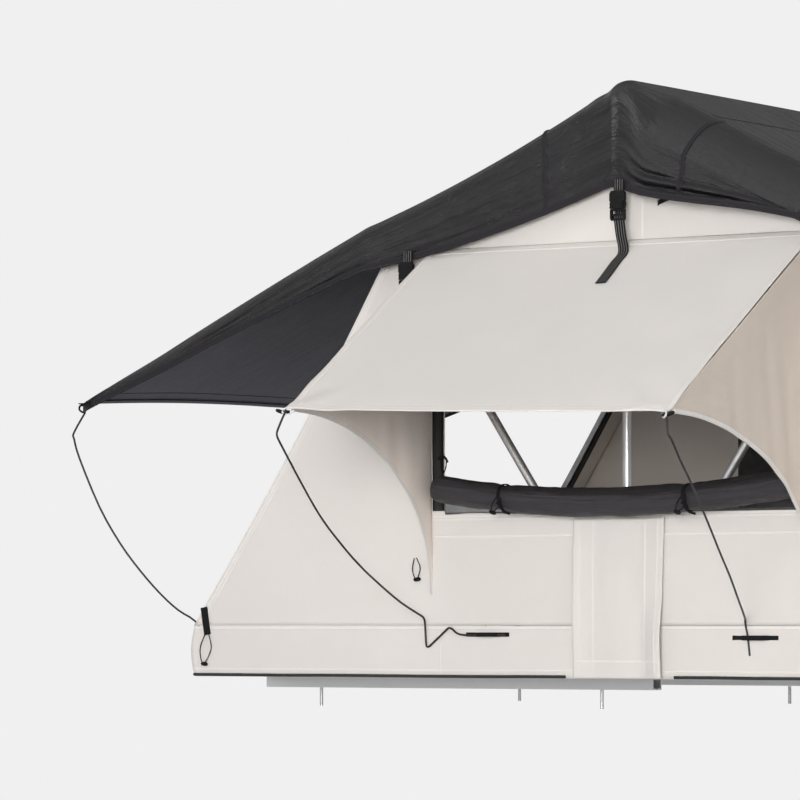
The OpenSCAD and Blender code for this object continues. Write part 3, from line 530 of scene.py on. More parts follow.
canvas = {
    "foot": (1.2033, 0.122),
    "corner": (0.633, 1.0066),
    "apex": 1.3047,
    "face": 0.6983,
    "halfWide": 0.6951,
    "thick": 0.0018,
    "edgeSag": 0.016,
    "roofSag": 0.006,
    "roofSlack": 0.006,
    "roofSeams": (-0.35, 0.35),
    "window": 0.476,
    "sill": 0.385,
    "head": 0.9886,
    "sillTapes": ((0.009, 0.018), (0.056, 0.006)),  # how far below the sill, and how wide
    "seam": 0.016,  # width of the felled seams
    "wrinkle": 0.003,
    "nearSeed": 3,  # of the wrinkles
    "farSeed": 17,
}


def edgeX(z):
    t = (z - canvas["foot"][1]) / (canvas["corner"][1] - canvas["foot"][1])
    sag = canvas["edgeSag"] * np.sin(np.pi * np.clip(t, 0, 1))
    return lerp(canvas["foot"][0], canvas["corner"][0], t) - sag


def roofZ(x):
    a = np.abs(x)
    (footX, footZ), (topX, topZ) = canvas["foot"], canvas["corner"]
    roof = lerp(canvas["apex"], topZ, a / topX) - canvas["roofSag"] * hump(np.clip(a / topX, 0, 1))
    return np.where(a < topX, roof, lerp(topZ, footZ, (a - topX) / (footX - topX)))


def wallWave(x, z, seed):
    # how far the side cloth stands in (positive) or out
    w = canvas["wrinkle"]
    broad = ripple(x * 2.3 + 5, z * 1.9, seed) * 1.2
    pull = ripple(x * 3.1 + z * 5.2, z * 1.3 - x * 0.7, seed + 1) * 0.7 * ease((np.abs(x) - 0.45) / 0.3)
    fan = ripple(x * 11 + z * 6, z * 2.1, seed + 2) * 0.35
    foot, top = np.abs(z - canvas["foot"][1]) / 0.08, np.maximum(0.15, (roofZ(x) - z) / 0.08)
    free = np.minimum(1, np.minimum(foot, top))
    return w * (broad + pull + fan) * free


def wallGrid():
    side, mid = 58, 86
    foot, sill, head, half = canvas["foot"][1], canvas["sill"], canvas["head"], canvas["window"]
    zs = np.concatenate([np.linspace(foot, sill, 27)[:-1], np.linspace(sill, head, 57)])
    t = np.linspace(0, 1, side + 1)
    rows = []
    for z in zs:
        left = lerp(-edgeX(z), -half, t)
        rows.append(np.concatenate([left[:-1], np.linspace(-half, half, mid + 1), -left[::-1][1:]]))
    x = np.array(rows)
    z = np.broadcast_to(zs[:, None], x.shape)
    v = np.linspace(0, 1, 31)[1:, None]
    gable = np.broadcast_to(x[-1], (30, x.shape[1]))
    z = np.vstack([z, lerp(head, np.maximum(roofZ(gable), head + 1e-5), v)])
    x = np.vstack([x, gable])
    keep = np.ones((x.shape[0] - 1, x.shape[1] - 1), bool)
    keep[26:82, side:side + mid] = False
    return x, z, keep


def wallPoints(x, z, side, seed):
    return spots(x, side * (canvas["face"] - wallWave(x, z, seed)), z)


def sideWall(name, side, node, seed):
    piece = Piece()
    x, z, keep = wallGrid()
    piece.sheet(wallPoints(x, z, side, seed), canvas["thick"], (0, 1), keep, face=(0, side, 0))
    out = (0, side, 0)
    w, sill, head = canvas["window"], canvas["sill"], canvas["head"]
    across = np.linspace(-w - 0.03, w + 0.03, 120)
    tape = [(across, sill - drop, width) for drop, width in canvas["sillTapes"]]
    for s in (-1, 1):  # the felled seams up each sloping edge and under the roof
        zs = np.linspace(0.13, 0.99, 90)
        tape.append((s * (edgeX(zs) - 0.011), zs, canvas["seam"]))
        xs = s * np.linspace(0.02, 0.62, 60)
        tape.append((xs, roofZ(xs) - 0.014, canvas["seam"]))
    for xs, zs, width in tape:
        piece.ribbon(wallPoints(xs, zs, side, seed), out, width, 0.0009, 0.0012, slot=2)
    if side < 0:
        zs = np.linspace(1.004, 1.27, 40)
        piece.ribbon(wallPoints(0.062, zs, side, seed), out, 0.006, 0.0003, 0.0012, slot=2)
        # painted shadow: a flat black plate on the wall stands for the shade inside the slit under the fly's
        # hem
        slitShadow = [(0.0, 0.0), (0.003, 0.003), (0.022, 0.010), (0.062, 0.0185)]
        slitShadow += [(0.062, 0.0205), (0.017, 0.0185), (0.0, 0.014)]
        slitShadowAt = wallPoints(0.103, 1.074, side, seed) + (0, -0.0004, 0)
        piece.plate(slitShadow, slitShadowAt, (1, 0, 0), (0, 0, 1), 0.0012, slot=3, soft=0.0004)
        toggle(piece, wallPoints(-0.556, 0.280, side, seed) + (0, side * 0.004, 0), (0.1, 0, -1), 3, 3, 0.05)
    else:
        # the net that is left closed in the far window, sewn round the opening
        xs, zs = np.meshgrid(np.linspace(-w - 0.01, w + 0.01, 40), np.linspace(sill - 0.01, head + 0.006, 26))
        grid = wallPoints(xs, zs, side, seed) - np.array([0, side * 0.004, 0])
        piece.sheet(grid, 0.0006, (4, 4), face=(0, -1, 0))
    cloths = sewnCanvas + ["webbing", "netPane"]
    return piece.make(name, cloths, "bow_ridge", node, "canvas", gathered=True)


nearWall = sideWall("side_cloth_near", -1, "side_wall_near", canvas["nearSeed"])
farWall = sideWall("side_cloth_far", 1, "side_wall_far", canvas["farSeed"])

doorway = {
    "sill": 0.07,
    "height": 0.86,
    "half": 0.610,
    "net": 0.032,  # left hanging round the door
    "corner": 0.12,
    "tape": 0.026,
    "rim": 0.012,  # places of the tape and its seam
    "seam": 0.034,
    "sides": 0.683,
}
slopeLength = math.dist(canvas["foot"], canvas["corner"])


def onEnd(s, y, side):
    t = np.asarray(s, float) / slopeLength
    z = lerp(canvas["foot"][1], canvas["corner"][1], t)
    y = np.asarray(y)
    belly = 0.0025 * ripple(y * 3.1, t * 3.3, 31 + side) + 0.0012 * ripple(y * 11, t * 5, 37)
    calm = np.minimum(1, (0.695 - np.abs(y)) / 0.06)
    return spots(side * (edgeX(z) - belly * calm), y, z)


def doorLoop(grow):
    # the door's outline, widened by grow: rounded at its head
    d = doorway
    half, r = d["half"] + grow, d["corner"] + grow * 0.8
    low, high = d["sill"] - grow, d["sill"] + d["height"] + grow
    arc = np.linspace(0, math.pi / 2, 14)
    line = [(low, y) for y in np.linspace(-half, half, 40)]
    line += [(s, half) for s in np.linspace(low, high - r, 40)[1:]]
    line += [(high - r + r * math.sin(a), half - r + r * math.cos(a)) for a in arc[1:]]
    line += [(high, y) for y in np.linspace(half - r, -half + r, 34)[1:]]
    line += [(high - r + r * math.cos(a), -half + r - r * math.sin(a)) for a in arc[1:]]
    line += [(s, -half) for s in np.linspace(high - r, low, 40)[1:-1]]
    return np.array(line)


def closedLoop(grow):
    line = doorLoop(grow)
    return np.concatenate([line, line[:1]]).T


def endWall(name, side, node):
    piece = Piece()
    inner = doorLoop(0)
    middle = np.array([doorway["sill"] + doorway["height"] / 2, 0.0])
    halfWide, low, high = canvas["halfWide"], 0.0015, slopeLength - 0.0015
    ray = inner - middle
    size = np.maximum(np.abs(ray), 1e-9)
    room = np.where(ray[:, 0] > 0, high - middle[0], middle[0] - low)
    outer = middle + ray * np.minimum(room / size[:, 0], halfWide / size[:, 1])[:, None]
    for corner in ((low, -halfWide), (low, halfWide), (high, halfWide), (high, -halfWide)):
        outer[np.argmin(np.linalg.norm(outer - corner, axis=1))] = corner
    r = np.linspace(0, 1, 9)[:, None, None]
    flat = lerp(inner[None], outer[None], r)
    flat = np.concatenate([flat, flat[:, :1]], 1)
    piece.sheet(onEnd(flat[..., 0], flat[..., 1], side), canvas["thick"], (0, 1), face=(side, 0, 0.6))
    out = (side * 0.84, 0, 0.54)
    piece.ribbon(onEnd(*closedLoop(doorway["rim"]), side), out, doorway["tape"], 0.0012, 0.003, slot=3)
    piece.ribbon(onEnd(*closedLoop(doorway["seam"]), side), out, 0.012, slot=2)
    border = np.stack([closedLoop(grow) for grow in (-doorway["net"], -0.012, 0.006)], 1)
    piece.sheet(onEnd(*border, side) - np.array(out) * 0.0022, 0.0006, (4, 4), face=(side, 0, 0.6))
    s = np.linspace(0.01, slopeLength - 0.02, 70)
    for y in (-doorway["sides"], doorway["sides"]):
        piece.ribbon(onEnd(s, y, side), out, canvas["seam"], slot=2)
    cloths = sewnCanvas + ["zip", "netPane"]
    return piece.make(name, cloths, "bow_ridge", node, "canvas", gathered=True)


leftEnd = endWall("end_cloth_left", -1, "end_wall_left")
rightEnd = endWall("end_cloth_right", 1, "end_wall_right")


def roofSlope(name, side, node):
    piece = Piece()
    halfWide, run = canvas["halfWide"], canvas["corner"][0]
    x, y = np.meshgrid(np.linspace(0.0015, run, 54), np.linspace(-halfWide, halfWide, 100))

    def at(x, y):
        slack = canvas["roofSlack"] * hump((y + 0.7) / 1.4) * hump(x / run)
        return spots(side * x, y, roofZ(x) - slack + 0.002 * ripple(x * 5, y * 4, 41 + side))

    piece.sheet(at(x, y), canvas["thick"], (0, 1), face=(0, 0, 1))
    for y in canvas["roofSeams"]:
        piece.ribbon(at(np.linspace(0.01, 0.62, 50), y), (0, 0, 1), 0.018, 0.0012, 0.001, slot=2)
    return piece.make(name, sewnCanvas, "bow_ridge", node, "canvas", gathered=True)


leftRoof = roofSlope("roof_cloth_left", -1, "roof_left")
rightRoof = roofSlope("roof_cloth_right", 1, "roof_right")

skirt = {
    "height": 0.121,
    "corner": 0.012,
    "belly": 0.0022,
    "seams": ((0.1165, 0.009), (0.0175, 0.004)),  # height and width
    "panels": (-0.49, -0.97),
}


def skirtLine():
    # round one floor half, from the far side of the fold to the near side
    x, y, r = canvas["foot"][0], canvas["face"], skirt["corner"]
    arc = np.linspace(0, math.pi / 2, 9)
    line = [(-0.0006, y)] + [(v, y) for v in np.linspace(-0.01, -x + r, 150)]
    line += [(-x + r - r * math.sin(a), y - r + r * math.cos(a)) for a in arc[1:]]
    line += [(-x, v) for v in np.linspace(y - r, -y + r, 160)[1:]]
    line += [(-x + r - r * math.cos(a), -y + r - r * math.sin(a)) for a in arc[1:]]
    line += [(v, -y) for v in np.linspace(-x + r, -0.01, 150)[1:]] + [(-0.0006, -y)]
    return np.array(line)


def skirtPoints(line, z, seed):
    p = np.concatenate([line, np.zeros((len(line), 1))], 1)
    ahead = unit(np.gradient(p, axis=0))
    out = np.cross(ahead, (0, 0, 1))
    s = along(p)
    z = np.full(len(line), z)
    wave = np.sin(np.pi * z / 0.12) * 0.5 + 0.45 * ripple(s * 4.2, z * 9, seed)
    swell = skirt["belly"] * (wave + 0.4 * ripple(s * 13, z * 5, seed + 1))
    swell = swell * ease((s[-1] / 2 - np.abs(s - s[-1] / 2)) / 0.05)
    corner = np.abs(out[:, 0]) * ease((np.abs(line[:, 1]) - 0.66) / 0.03)  # the end corners stand out
    swell = swell + corner * (0.009 * np.sin(np.pi * np.clip(z / 0.125, 0, 1)) + 0.003)
    return p + out * swell[..., None] + spots(0, 0, z), out


def skirtBand(name, side, node, body, seed):
    piece = Piece()
    line = skirtLine()
    flip = np.array([-side, 1, 1.0])
    rows = [skirtPoints(line, z, seed)[0] * flip for z in np.linspace(0.0005, skirt["height"], 12)]
    piece.sheet(np.array(rows)[:, ::-side], canvas["thick"], (0, 1))
    for z, width in skirt["seams"]:
        p, out = skirtPoints(line[1:-1], z, seed)
        piece.ribbon(p * flip, out * flip, width, 0.0005, 0.0008, slot=2)
    for x in skirt["panels"]:
        for y in (-canvas["face"], canvas["face"]):
            zs = np.linspace(0.012, 0.112, 14)
            piece.ribbon(spots(x, y * 1.0012, zs) * flip, (0, y, 0), 0.003, 0.0003, 0.0025, slot=2)
    return piece.make(name, sewnCanvas, body, node, "canvas")


fixedSkirt = skirtBand("skirt_cloth_fixed", -1, "skirt_fixed", "base_fixed", 5)
foldingSkirt = skirtBand("skirt_cloth_folding", 1, "skirt_folding", "base_folding", 9)

pipe = {"radius": 0.0036, "out": 0.0035, "gap": 0.139}


def hemPiping(name, side, node, body):
    piece = Piece()
    line = skirtLine()
    line = line[np.abs(line[:, 0]) > pipe["gap"]]
    p = np.concatenate([line, np.full((len(line), 1), 0.0042)], 1)
    out = np.cross(unit(np.gradient(p, axis=0)), (0, 0, 1))
    s = along(p)
    p = p + out * (pipe["out"] + 0.0007 * ripple(s * 9, s * 0, 61)[:, None])
    p[:, 2] += 0.0006 * ripple(s * 7, s * 0, 67)
    piece.tube(p * (-side, 1, 1), pipe["radius"], 8, 0, up=(0, 0, 1))
    piece.make(name, ["piping"], body, node, "webbing")


for half, side in (("fixed", -1), ("folding", 1)):
    hemPiping("hem_cord_" + half, side, "hem_piping_" + half, "base_" + half)
print("canvas done")

fly = {
    "kink": (0.67106, 1.063),
    "apex": 1.360,
    "ridgeLift": 0.022,  # of the right slope, where the ridge pole holds it up
    "hemApex": 1.352,
    "farLift": 0.018,  # of the far corners
    "end": (1.500, 0.662),
    "halves": (0.719, 0.745, 0.755),
    "depths": (0.228, 0.108, 0.021),
    "sag": 0.018,
    "ridgeRound": 0.012,
    "rounds": ((0.036, 0.034), (0.080, 0.046), (0.125, 0.105)),  # back and down: left, ridge, right
    "lean": 0.44,  # how far the right side slants
    "thick": 0.0012,
    "rightLift": 0.044,
    "hem": 0.016,
    "fold": 0.012,
    "crease": 0.014,
    "seams": (-0.185, 0.185),
    "roofSeams": (0.195, 0.672),
    "endTapes": ((0.011, 0.02), (0.045, 0.008)),  # inset and width
    "leanRun": 0.07,  # below the turn, where the slant fades
}


def flyPart(x):
    bend, k, e = fly["ridgeRound"], fly["kink"][0], fly["end"][0]
    a = np.sqrt(np.asarray(x, float) ** 2 + bend ** 2) - bend * 0.4
    return np.where(a < k, a / k, 1 + (a - k) / (e - k))


def spans(p, three):
    soft = 0.03  # the turn over a side bow is a little round
    first, second = lerp(three[0], three[1], p), lerp(three[1], three[2], p - 1)
    return lerp(first, second, ease((p - 1) / (2 * soft) + 0.5))


def flyCrease(x):
    # the ridge pole pushes the cloth out, in a sharp crease that leans it both ways
    return fly["crease"] * np.maximum(0, 1 - np.abs(np.asarray(x, float)) / 0.085) ** 1.2


def flyHalf(x):
    return spans(flyPart(x), fly["halves"]) + flyCrease(x)


def flyRound(x, k):
    # how far back (0) and down (1) the cloth turns over at a long edge
    left, ridge, right = (r[k] for r in fly["rounds"])
    x = np.asarray(x, float)
    end = ease((fly["end"][0] - np.abs(x)) / 0.25)
    return lerp(lerp(left, ridge, ease(1 - np.abs(x) / 0.06)), right, rightSlack(x)) * np.maximum(end, 0.02)


def flyLine(x, apex):
    p = flyPart(x)
    sag = np.where(p < 1, -fly["sag"] * hump(np.clip(p, 0, 1)), 0.008 * hump(np.clip(p - 1, 0, 1)))
    return spans(p, (apex, fly["kink"][1], fly["end"][1])) + sag


def flyEdge(x):
    x = np.asarray(x, float)
    return flyLine(x, fly["apex"]) + fly["ridgeLift"] * ease((x + 0.03) / 0.06) * ease((0.67 - x) / 0.5)


def flyHem(x, side):
    x = np.asarray(x, float)
    lift = fly["rightLift"] * ease(x / 0.45) * ease((1.4 - x) / 0.7) if side < 0 else 0.0
    corner = fly["farLift"] * ease(flyPart(x) - 1.1) if side > 0 else 0.0
    return flyLine(x, fly["hemApex"]) + corner - np.maximum(spans(flyPart(x), fly["depths"]) - lift, 0.012)


def flyDepth(x, side):
    return flyEdge(x) - flyHem(x, side)


def rightSlack(x):
    # 1 where the right side slants, 0 elsewhere
    x = np.asarray(x, float)
    return ease((x - 0.012) / 0.10) * ease((0.66 - x) / 0.14)


def flyStations():
    # finer close to the ridge
    slope, ridge = np.linspace(-0.69, -0.04, 78)[1:], np.linspace(-0.036, 0, 13)
    left = np.concatenate([np.linspace(-fly["end"][0], -0.70, 88), slope, ridge])
    return np.concatenate([left, -left[::-1][1:]])


def flyTurn(x, a, side):
    # the edge's turn, from the roof (0) to the valance (1)
    back = flyRound(x, 0)
    out = flyHalf(x) - back * (1 - a) ** 2 - back * fly["lean"] * rightSlack(x) * 2 * a * (1 - a)
    return spots(x, side * out, flyTop(x, side * (flyHalf(x) - back)) - flyRound(x, 1) * a * a)


def flyTop(x, y):
    half = flyHalf(x)
    v = y / half
    p = flyPart(x)
    z = flyEdge(x) + np.maximum(0, p - 1.4) * 0.040 * (1 - v * v)
    z = z + fly["farLift"] * ease(p - 1.1) * ease(v)
    slack = 0.004 * hump(np.clip(p, 0, 1)) + 0.005 * hump(np.clip(p - 1, 0, 1))
    calm = ease((1 - np.abs(v)) / 0.2)
    z = z + slack * calm * (ripple(x * 4.2, y * 2.6, 71) + 0.5 * ripple(x * 11, y * 5, 73))
    return z + 0.0022 * ripple(x * 26 + y * 9, y * 3.1, 79) * calm * dent(p, 1.0, 0.35)


def flySheet():
    piece = Piece()
    xs = flyStations()
    reach = flyHalf(xs) - flyRound(xs, 0) + 0.003
    grid = [spots(xs, v * reach, flyTop(xs, v * reach)) for v in np.linspace(-1, 1, 118)]
    piece.sheet(np.array(grid), fly["thick"], (0, 1), face=(0, 0, 1))
    for side in (-1, 1):
        ys = np.linspace(-0.745, 0.745, 130)
        for inset, width in fly["endTapes"]:
            x = side * (fly["end"][0] - inset)
            piece.ribbon(spots(x, ys, flyTop(x, ys)), (0, 0, 1), width, 0.0009, 0.0007, slot=2)
        for at in fly["roofSeams"]:
            x = side * at
            reach = float(flyHalf(x) - flyRound(x, 0))
            ys = np.linspace(-reach, reach, 130)
            piece.ribbon(spots(x, ys, flyTop(x, ys)), (side * 0.4, 0, 0.9), 0.016, 0.0012, 0.002, slot=2)
        for y in (-0.755, 0.755):  # corner tabs with their eyes, for the end rods
            at = np.array([side * (fly["end"][0] - 0.006), y * 0.985, fly["end"][1] + 0.0015])
            piece.plate(softBox(0.034, 0.042), at + (0, 0, 0.0002), (1, 0, 0), (0, 1, 0), 0.0022, slot=3)
            eye = ((0.008, -0.004), (0.022, -0.002), (0.026, -0.012), (0.014, -0.019), (0.002, -0.012))
            piece.tube(curve([at + (side * far, 0, up) for far, up in eye], 18), 0.0026, 6, 3)
    cloths = ["fly", "flyIn", "flySeam", "webbing"]
    return piece.make("fly_roof", cloths, "bow_ridge", "fly_sheet", "fly_cloth", gathered=True)


def softBox(w, h, r=0.006):
    # an outline with rounded corners
    x, y, points = w / 2 - r, h / 2 - r, []
    for cx, cy, start in ((x, y, 0), (-x, y, 90), (-x, -y, 180), (x, -y, 270)):
        for a in np.radians(start + np.linspace(0, 90, 5)):
            points.append((cx + r * math.cos(a), cy + r * math.sin(a)))
    return points


def valanceOut(x, t, side):
    # folds that run along the valance, deeper to the right of the ridge, and slack towards the hem
    a = np.abs(x)
    above = (1 - t) * flyDepth(x, side)  # the height above the hem
    rest = 0.0026 * ripple(x * 2.4 + 3, t * 4.6 + x * 0.8, 83 + side)
    rest = rest + 0.0018 * ripple(x * 5.5, t * 9 + x * 1.5, 89 + side)
    right = ease((x - 0.02) / 0.05) * ease((0.62 - x) / 0.3)
    slack = ease((0.125 - above) / 0.05) * (0.65 + 0.35 * ripple(x * 7, above * 9, 97))
    turns = above / (0.054 + 0.02 * ease(x / 0.5)) + 0.1 + 0.35 * x
    pulled = fly["fold"] * right * slack * np.sin(2 * np.pi * turns)
    seams = 0.0
    for at in fly["seams"]:
        seams = seams + 0.0026 * dent(x, seamX(at, t), 0.022) * ripple(t * 15 + at * 9, x * 24, 99)
    body = 0.0035 * np.sin(np.pi * np.clip(t, 0, 1)) * dent(x, -0.42, 0.3)
    body = body + (0.006 + 0.012 * right) * t * ease(a / 0.08)
    wave = 0.0045 * t * t * ripple(x * 3.4, x * 0 + 2, 101 + side)
    held = ease((fly["end"][0] - 0.01 - a) / 0.1)
    return np.maximum((rest + pulled + seams + wave + body) * ease(t / 0.12) * held, -0.006)


def seamX(at, t):
    return at + (0.02 if at > 0 else 0.008) * t


def valancePoints(x, t, side):
    x, t = np.broadcast_arrays(np.asarray(x, float), np.asarray(t, float))
    top = flyRound(x, 1)
    z = flyEdge(x) - top - t * np.maximum(flyDepth(x, side) - top, 0.002)
    steep = rightSlack(x) * fly["lean"] * flyRound(x, 0) / np.maximum(top, 1e-4)
    below = np.minimum((flyEdge(x) - top - z) / fly["leanRun"], 1)
    slant = steep * fly["leanRun"] * (below - below * below / 2)
    out = flyHalf(x) + valanceOut(x, t, side) + slant - 0.25 * t * flyCrease(x)
    return spots(x, side * out, z)


def valance(name, side, node):
    piece = Piece()
    xs = flyStations()
    grid = [valancePoints(xs, t, side) for t in np.linspace(1, 0.03, 34)]
    grid += [flyTurn(xs, a, side) for a in np.linspace(1, 0, 16)]
    piece.sheet(np.array(grid), fly["thick"], (0, 1), face=(0, side, 0.4))
    inner = xs[np.abs(xs) < fly["end"][0] - 0.03]
    share = 1 - 0.009 / flyDepth(inner, side)
    piece.ribbon(valancePoints(inner, share, side), (0, side, 0), fly["hem"], 0.0012, 0.0014, slot=2)
    for at in fly["seams"]:
        t = np.linspace(0.03, 0.93, 44)
        a = np.linspace(0.05, 1, 20)
        over = flyTurn(seamX(at, 0) + (0.045 if at > 0 else 0.0) * (1 - a), a, side)
        line = np.concatenate([over, valancePoints(seamX(at, t), t, side)])
        piece.ribbon(line, (0, side, 0.6), 0.014, 0.0009, 0.0012, slot=2)
    for far in (-0.03, 0.034):  # the stitched edges of the patch behind the strap
        share = np.linspace(0, 1, 16)
        line = valancePoints(far * share + 0.004, 0.72 + 0.24 * share, side)
        piece.ribbon(line, (0, side, 0), 0.003, 0.0005, 0.0012, slot=2)
    return piece.make(name, ["fly", "flyIn", "flySeam"], "bow_ridge", node, "fly_cloth", gathered=True)


pole = {
    "axis": 1.340,
    "radius": 0.008,
    "half": 0.640,
    "posts": (-0.43, 0.0, 0.43),
    "seat": 1.3083,
    "pad": 0.015,
}


def ridgePole():
    piece = Piece()
    line = np.linspace(-1, 1, 60)
    ends = np.sqrt(np.clip(1 - ((np.abs(line) - 0.985) / 0.016).clip(0) ** 2, 0.05, 1))
    piece.tube(spots(0, line * pole["half"], pole["axis"]), pole["radius"] * ends, 20, 0, up=(0, 0, 1))
    for y in pole["posts"]:
        heights = np.array([0, 0.0006, 0.0034, 0.0042, 0.006, pole["axis"] - pole["seat"]])
        sizes = np.array([0.93, 1, 1, 0.9, 0.4, 0.4]) * pole["pad"]
        piece.tube(spots(0, y, pole["seat"] + heights), sizes, 24, 0, up=(0, 1, 0.001))
    piece.make("ridge_pole", ["alloy"], "bow_ridge", "fly_pole_ridge", "alloy")


ridgePole()
roofFly = flySheet()
nearValance = valance("fly_skirt_near", -1, "fly_valance_near")
farValance = valance("fly_skirt_far", 1, "fly_valance_far")
print("fly done")

awning = {
    "top": (0.7003, 1.00207),
    "length": 0.738,
    "slope": 34.0,
    "half": 0.515,
    "sag": 0.012,
    "thick": 0.0016,
    "leftSkew": (0.022, 0.019),  # of the left and right corner, inward and up
    "rightSkew": (-0.036, -0.014),
    "hems": ((0.984, 0.022), (0.018, 0.02)),  # share of the length, and width
    "farHems": ((0.982, 0.022), (0.016, 0.02)),
    "farOut": 0.7002,  # the far one hangs down
    "farLength": 0.74,
}
slopeCos, slopeSin = math.cos(math.radians(awning["slope"])), math.sin(math.radians(awning["slope"]))


def awningSkew(u, v):
    (inLeft, upLeft), (inRight, upRight) = awning["leftSkew"], awning["rightSkew"]
    return lerp(inLeft, inRight, u) * v, lerp(upLeft, upRight, u) * v


def awningPoints(x, v):
    x, v = np.broadcast_arrays(np.asarray(x, float), np.asarray(v, float))
    u = x / awning["half"] * 0.5 + 0.5
    run = 0.002 + awning["length"] * v
    dip = awning["sag"] * np.sin(np.pi * v) * np.sin(np.pi * u)
    hang = 0.004 * np.sin(np.pi * u) * ease((v - 0.9) / 0.1)
    pull = 0.0022 * ripple(u * 5 + v * 2.4, v * 2.2 - u * 1.2, 103)
    pull = pull + 0.0014 * ripple(u * 13 - v * 7, v * 3 + u * 4, 107)
    low = dent(v, 1.0, 0.16)  # creases fan out from the lower corners
    corner = 0.004 * np.sin((u + v * 0.8) * 40) * dent(u, 0.02, 0.12) * low
    corner = corner + 0.004 * np.sin((1 - u + v * 0.8) * 38) * dent(u, 0.98, 0.12) * low
    calm = ease(v / 0.06) * ease((1 - v) / 0.03 + 0.2)
    z = awning["top"][1] - run * slopeSin - dip - hang + (pull + corner) * calm
    inset = 0.004 * np.sin(np.pi * np.clip(v, 0, 1)) * (2 * u - 1)
    inward, up = awningSkew(u, v)
    return spots(x - inset, inward - (awning["top"][0] + run * slopeCos), z + up)


def nearAwning():
    piece = Piece()
    half = awning["half"]
    x, v = np.meshgrid(np.linspace(-half, half, 120), np.linspace(1, 0, 86))
    piece.sheet(awningPoints(x, v), awning["thick"], (0, 1), face=(0, -0.5, 0.8))
    out = (0, -0.56, 0.83)
    xs = np.linspace(-half + 0.004, half - 0.004, 140)
    for at, width in awning["hems"]:
        piece.ribbon(awningPoints(xs, at), out, width, 0.0011, 0.0012, slot=2)
    for s in (-1, 1):
        vs = np.linspace(0.03, 0.985, 110)
        piece.ribbon(awningPoints(s * (half - 0.008), vs), out, 0.014, 0.0011, 0.0012, slot=2)
        tip = awningPoints(s * (half - 0.004), 0.997)
        loop = [(-0.012, 0.01, 0.0005), (0, -0.006, -0.002), (0.004, -0.012, -0.010),
                (-0.006, -0.006, -0.016), (-0.016, 0.006, -0.006)]
        piece.tube(curve([tip + (s * x, y, z) for x, y, z in loop], 20), 0.0024, 6, 3)
        tab = [(-0.010, -0.003, -0.010), (0.006, -0.008, -0.010), (0.022, -0.010, -0.005)]
        girth = 0.0045 * np.array([0.8, 1, 1, 1, 1, 1, 1, 1, 0.9, 0.6])
        piece.tube(curve([tip + (s * x, y, z) for x, y, z in tab], 10), girth, 8, 4)
    cloths = sewnCanvas + ["loop", "plastic"]
    return piece.make("awning_cloth_near", cloths, "awning_near", "awning_near", "canvas", gathered=True)


gusset = {"run": 0.734, "foot": 0.182, "wall": 0.6986, "drop": 0.0035, "hem": 0.012}


def gussetFlat(t, r, side):
    # t along the free edge, r from it back to the awning and the wall, as y and z
    top = np.array([-awning["top"][0], awning["top"][1] - gusset["drop"] - 0.004])
    skew = awningSkew((side + 1) / 2, 0.995)
    run, foot, wall = gusset["run"], gusset["foot"], -gusset["wall"]
    tipY = skew[0] - (awning["top"][0] + run * slopeCos)
    tipZ = skew[1] + awning["top"][1] - run * slopeSin - gusset["drop"]
    bend = t * np.pi / 2
    free = np.stack([tipY + (wall - tipY) * np.sin(bend), foot + (tipZ - foot) * np.cos(bend)], -1)
    upper = lerp(np.array([tipY, tipZ]), top, np.clip(t * 2, 0, 1)[..., None])
    lower = lerp(np.array([wall, top[1]]), np.array([wall, foot]), np.clip(t * 2 - 1, 0, 1)[..., None])
    held = np.where(t[..., None] < 0.5, upper, lower)
    return lerp(free, held, np.asarray(r)[..., None])


def gussetPoints(t, r, side):
    t, r = np.broadcast_arrays(np.asarray(t, float), np.asarray(r, float))
    flat = gussetFlat(t, r, side)
    y, z = flat[..., 0], flat[..., 1]
    free = hump(np.clip(r, 0, 1)) * 0.5 + 0.35 * (1 - r)
    calm = np.sin(np.pi * np.clip(t, 0, 1)) ** 0.7
    wave = 0.010 * free + 0.003 * ripple(y * 9, z * 2.2, 109) + 0.0016 * ripple(y * 26 + z * 4, z * 3, 113)
    belly = wave * calm * (1 - r * r)
    return spots(side * (awning["half"] - 0.0016 - belly), y, z)


def gussets():
    piece = Piece()
    for side in (-1, 1):
        t, r = np.meshgrid(np.linspace(0.004, 0.996, 90), np.linspace(0, 1, 44))
        piece.sheet(gussetPoints(t, r, side), 0.0014, (0, 1), face=(side, 0, 0))
        t = np.linspace(0.02, 0.98, 100)
        edge = gussetPoints(t, 0.012, side)
        for out in (-1, 1):
            line = edge + (out * side * 0.0004, 0, 0)
            piece.ribbon(line, (out * side, 0, 0), gusset["hem"], 0.0012, 0.0012, slot=2)
    # the outer faces take the painted shade finish, the inner faces the painted light finish
    cloths = ["gusset", "gussetInPaintedLight", "seam"]
    return piece.make("gusset_cloth", cloths, "awning_near", "awning_gussets", "canvas", gathered=True)


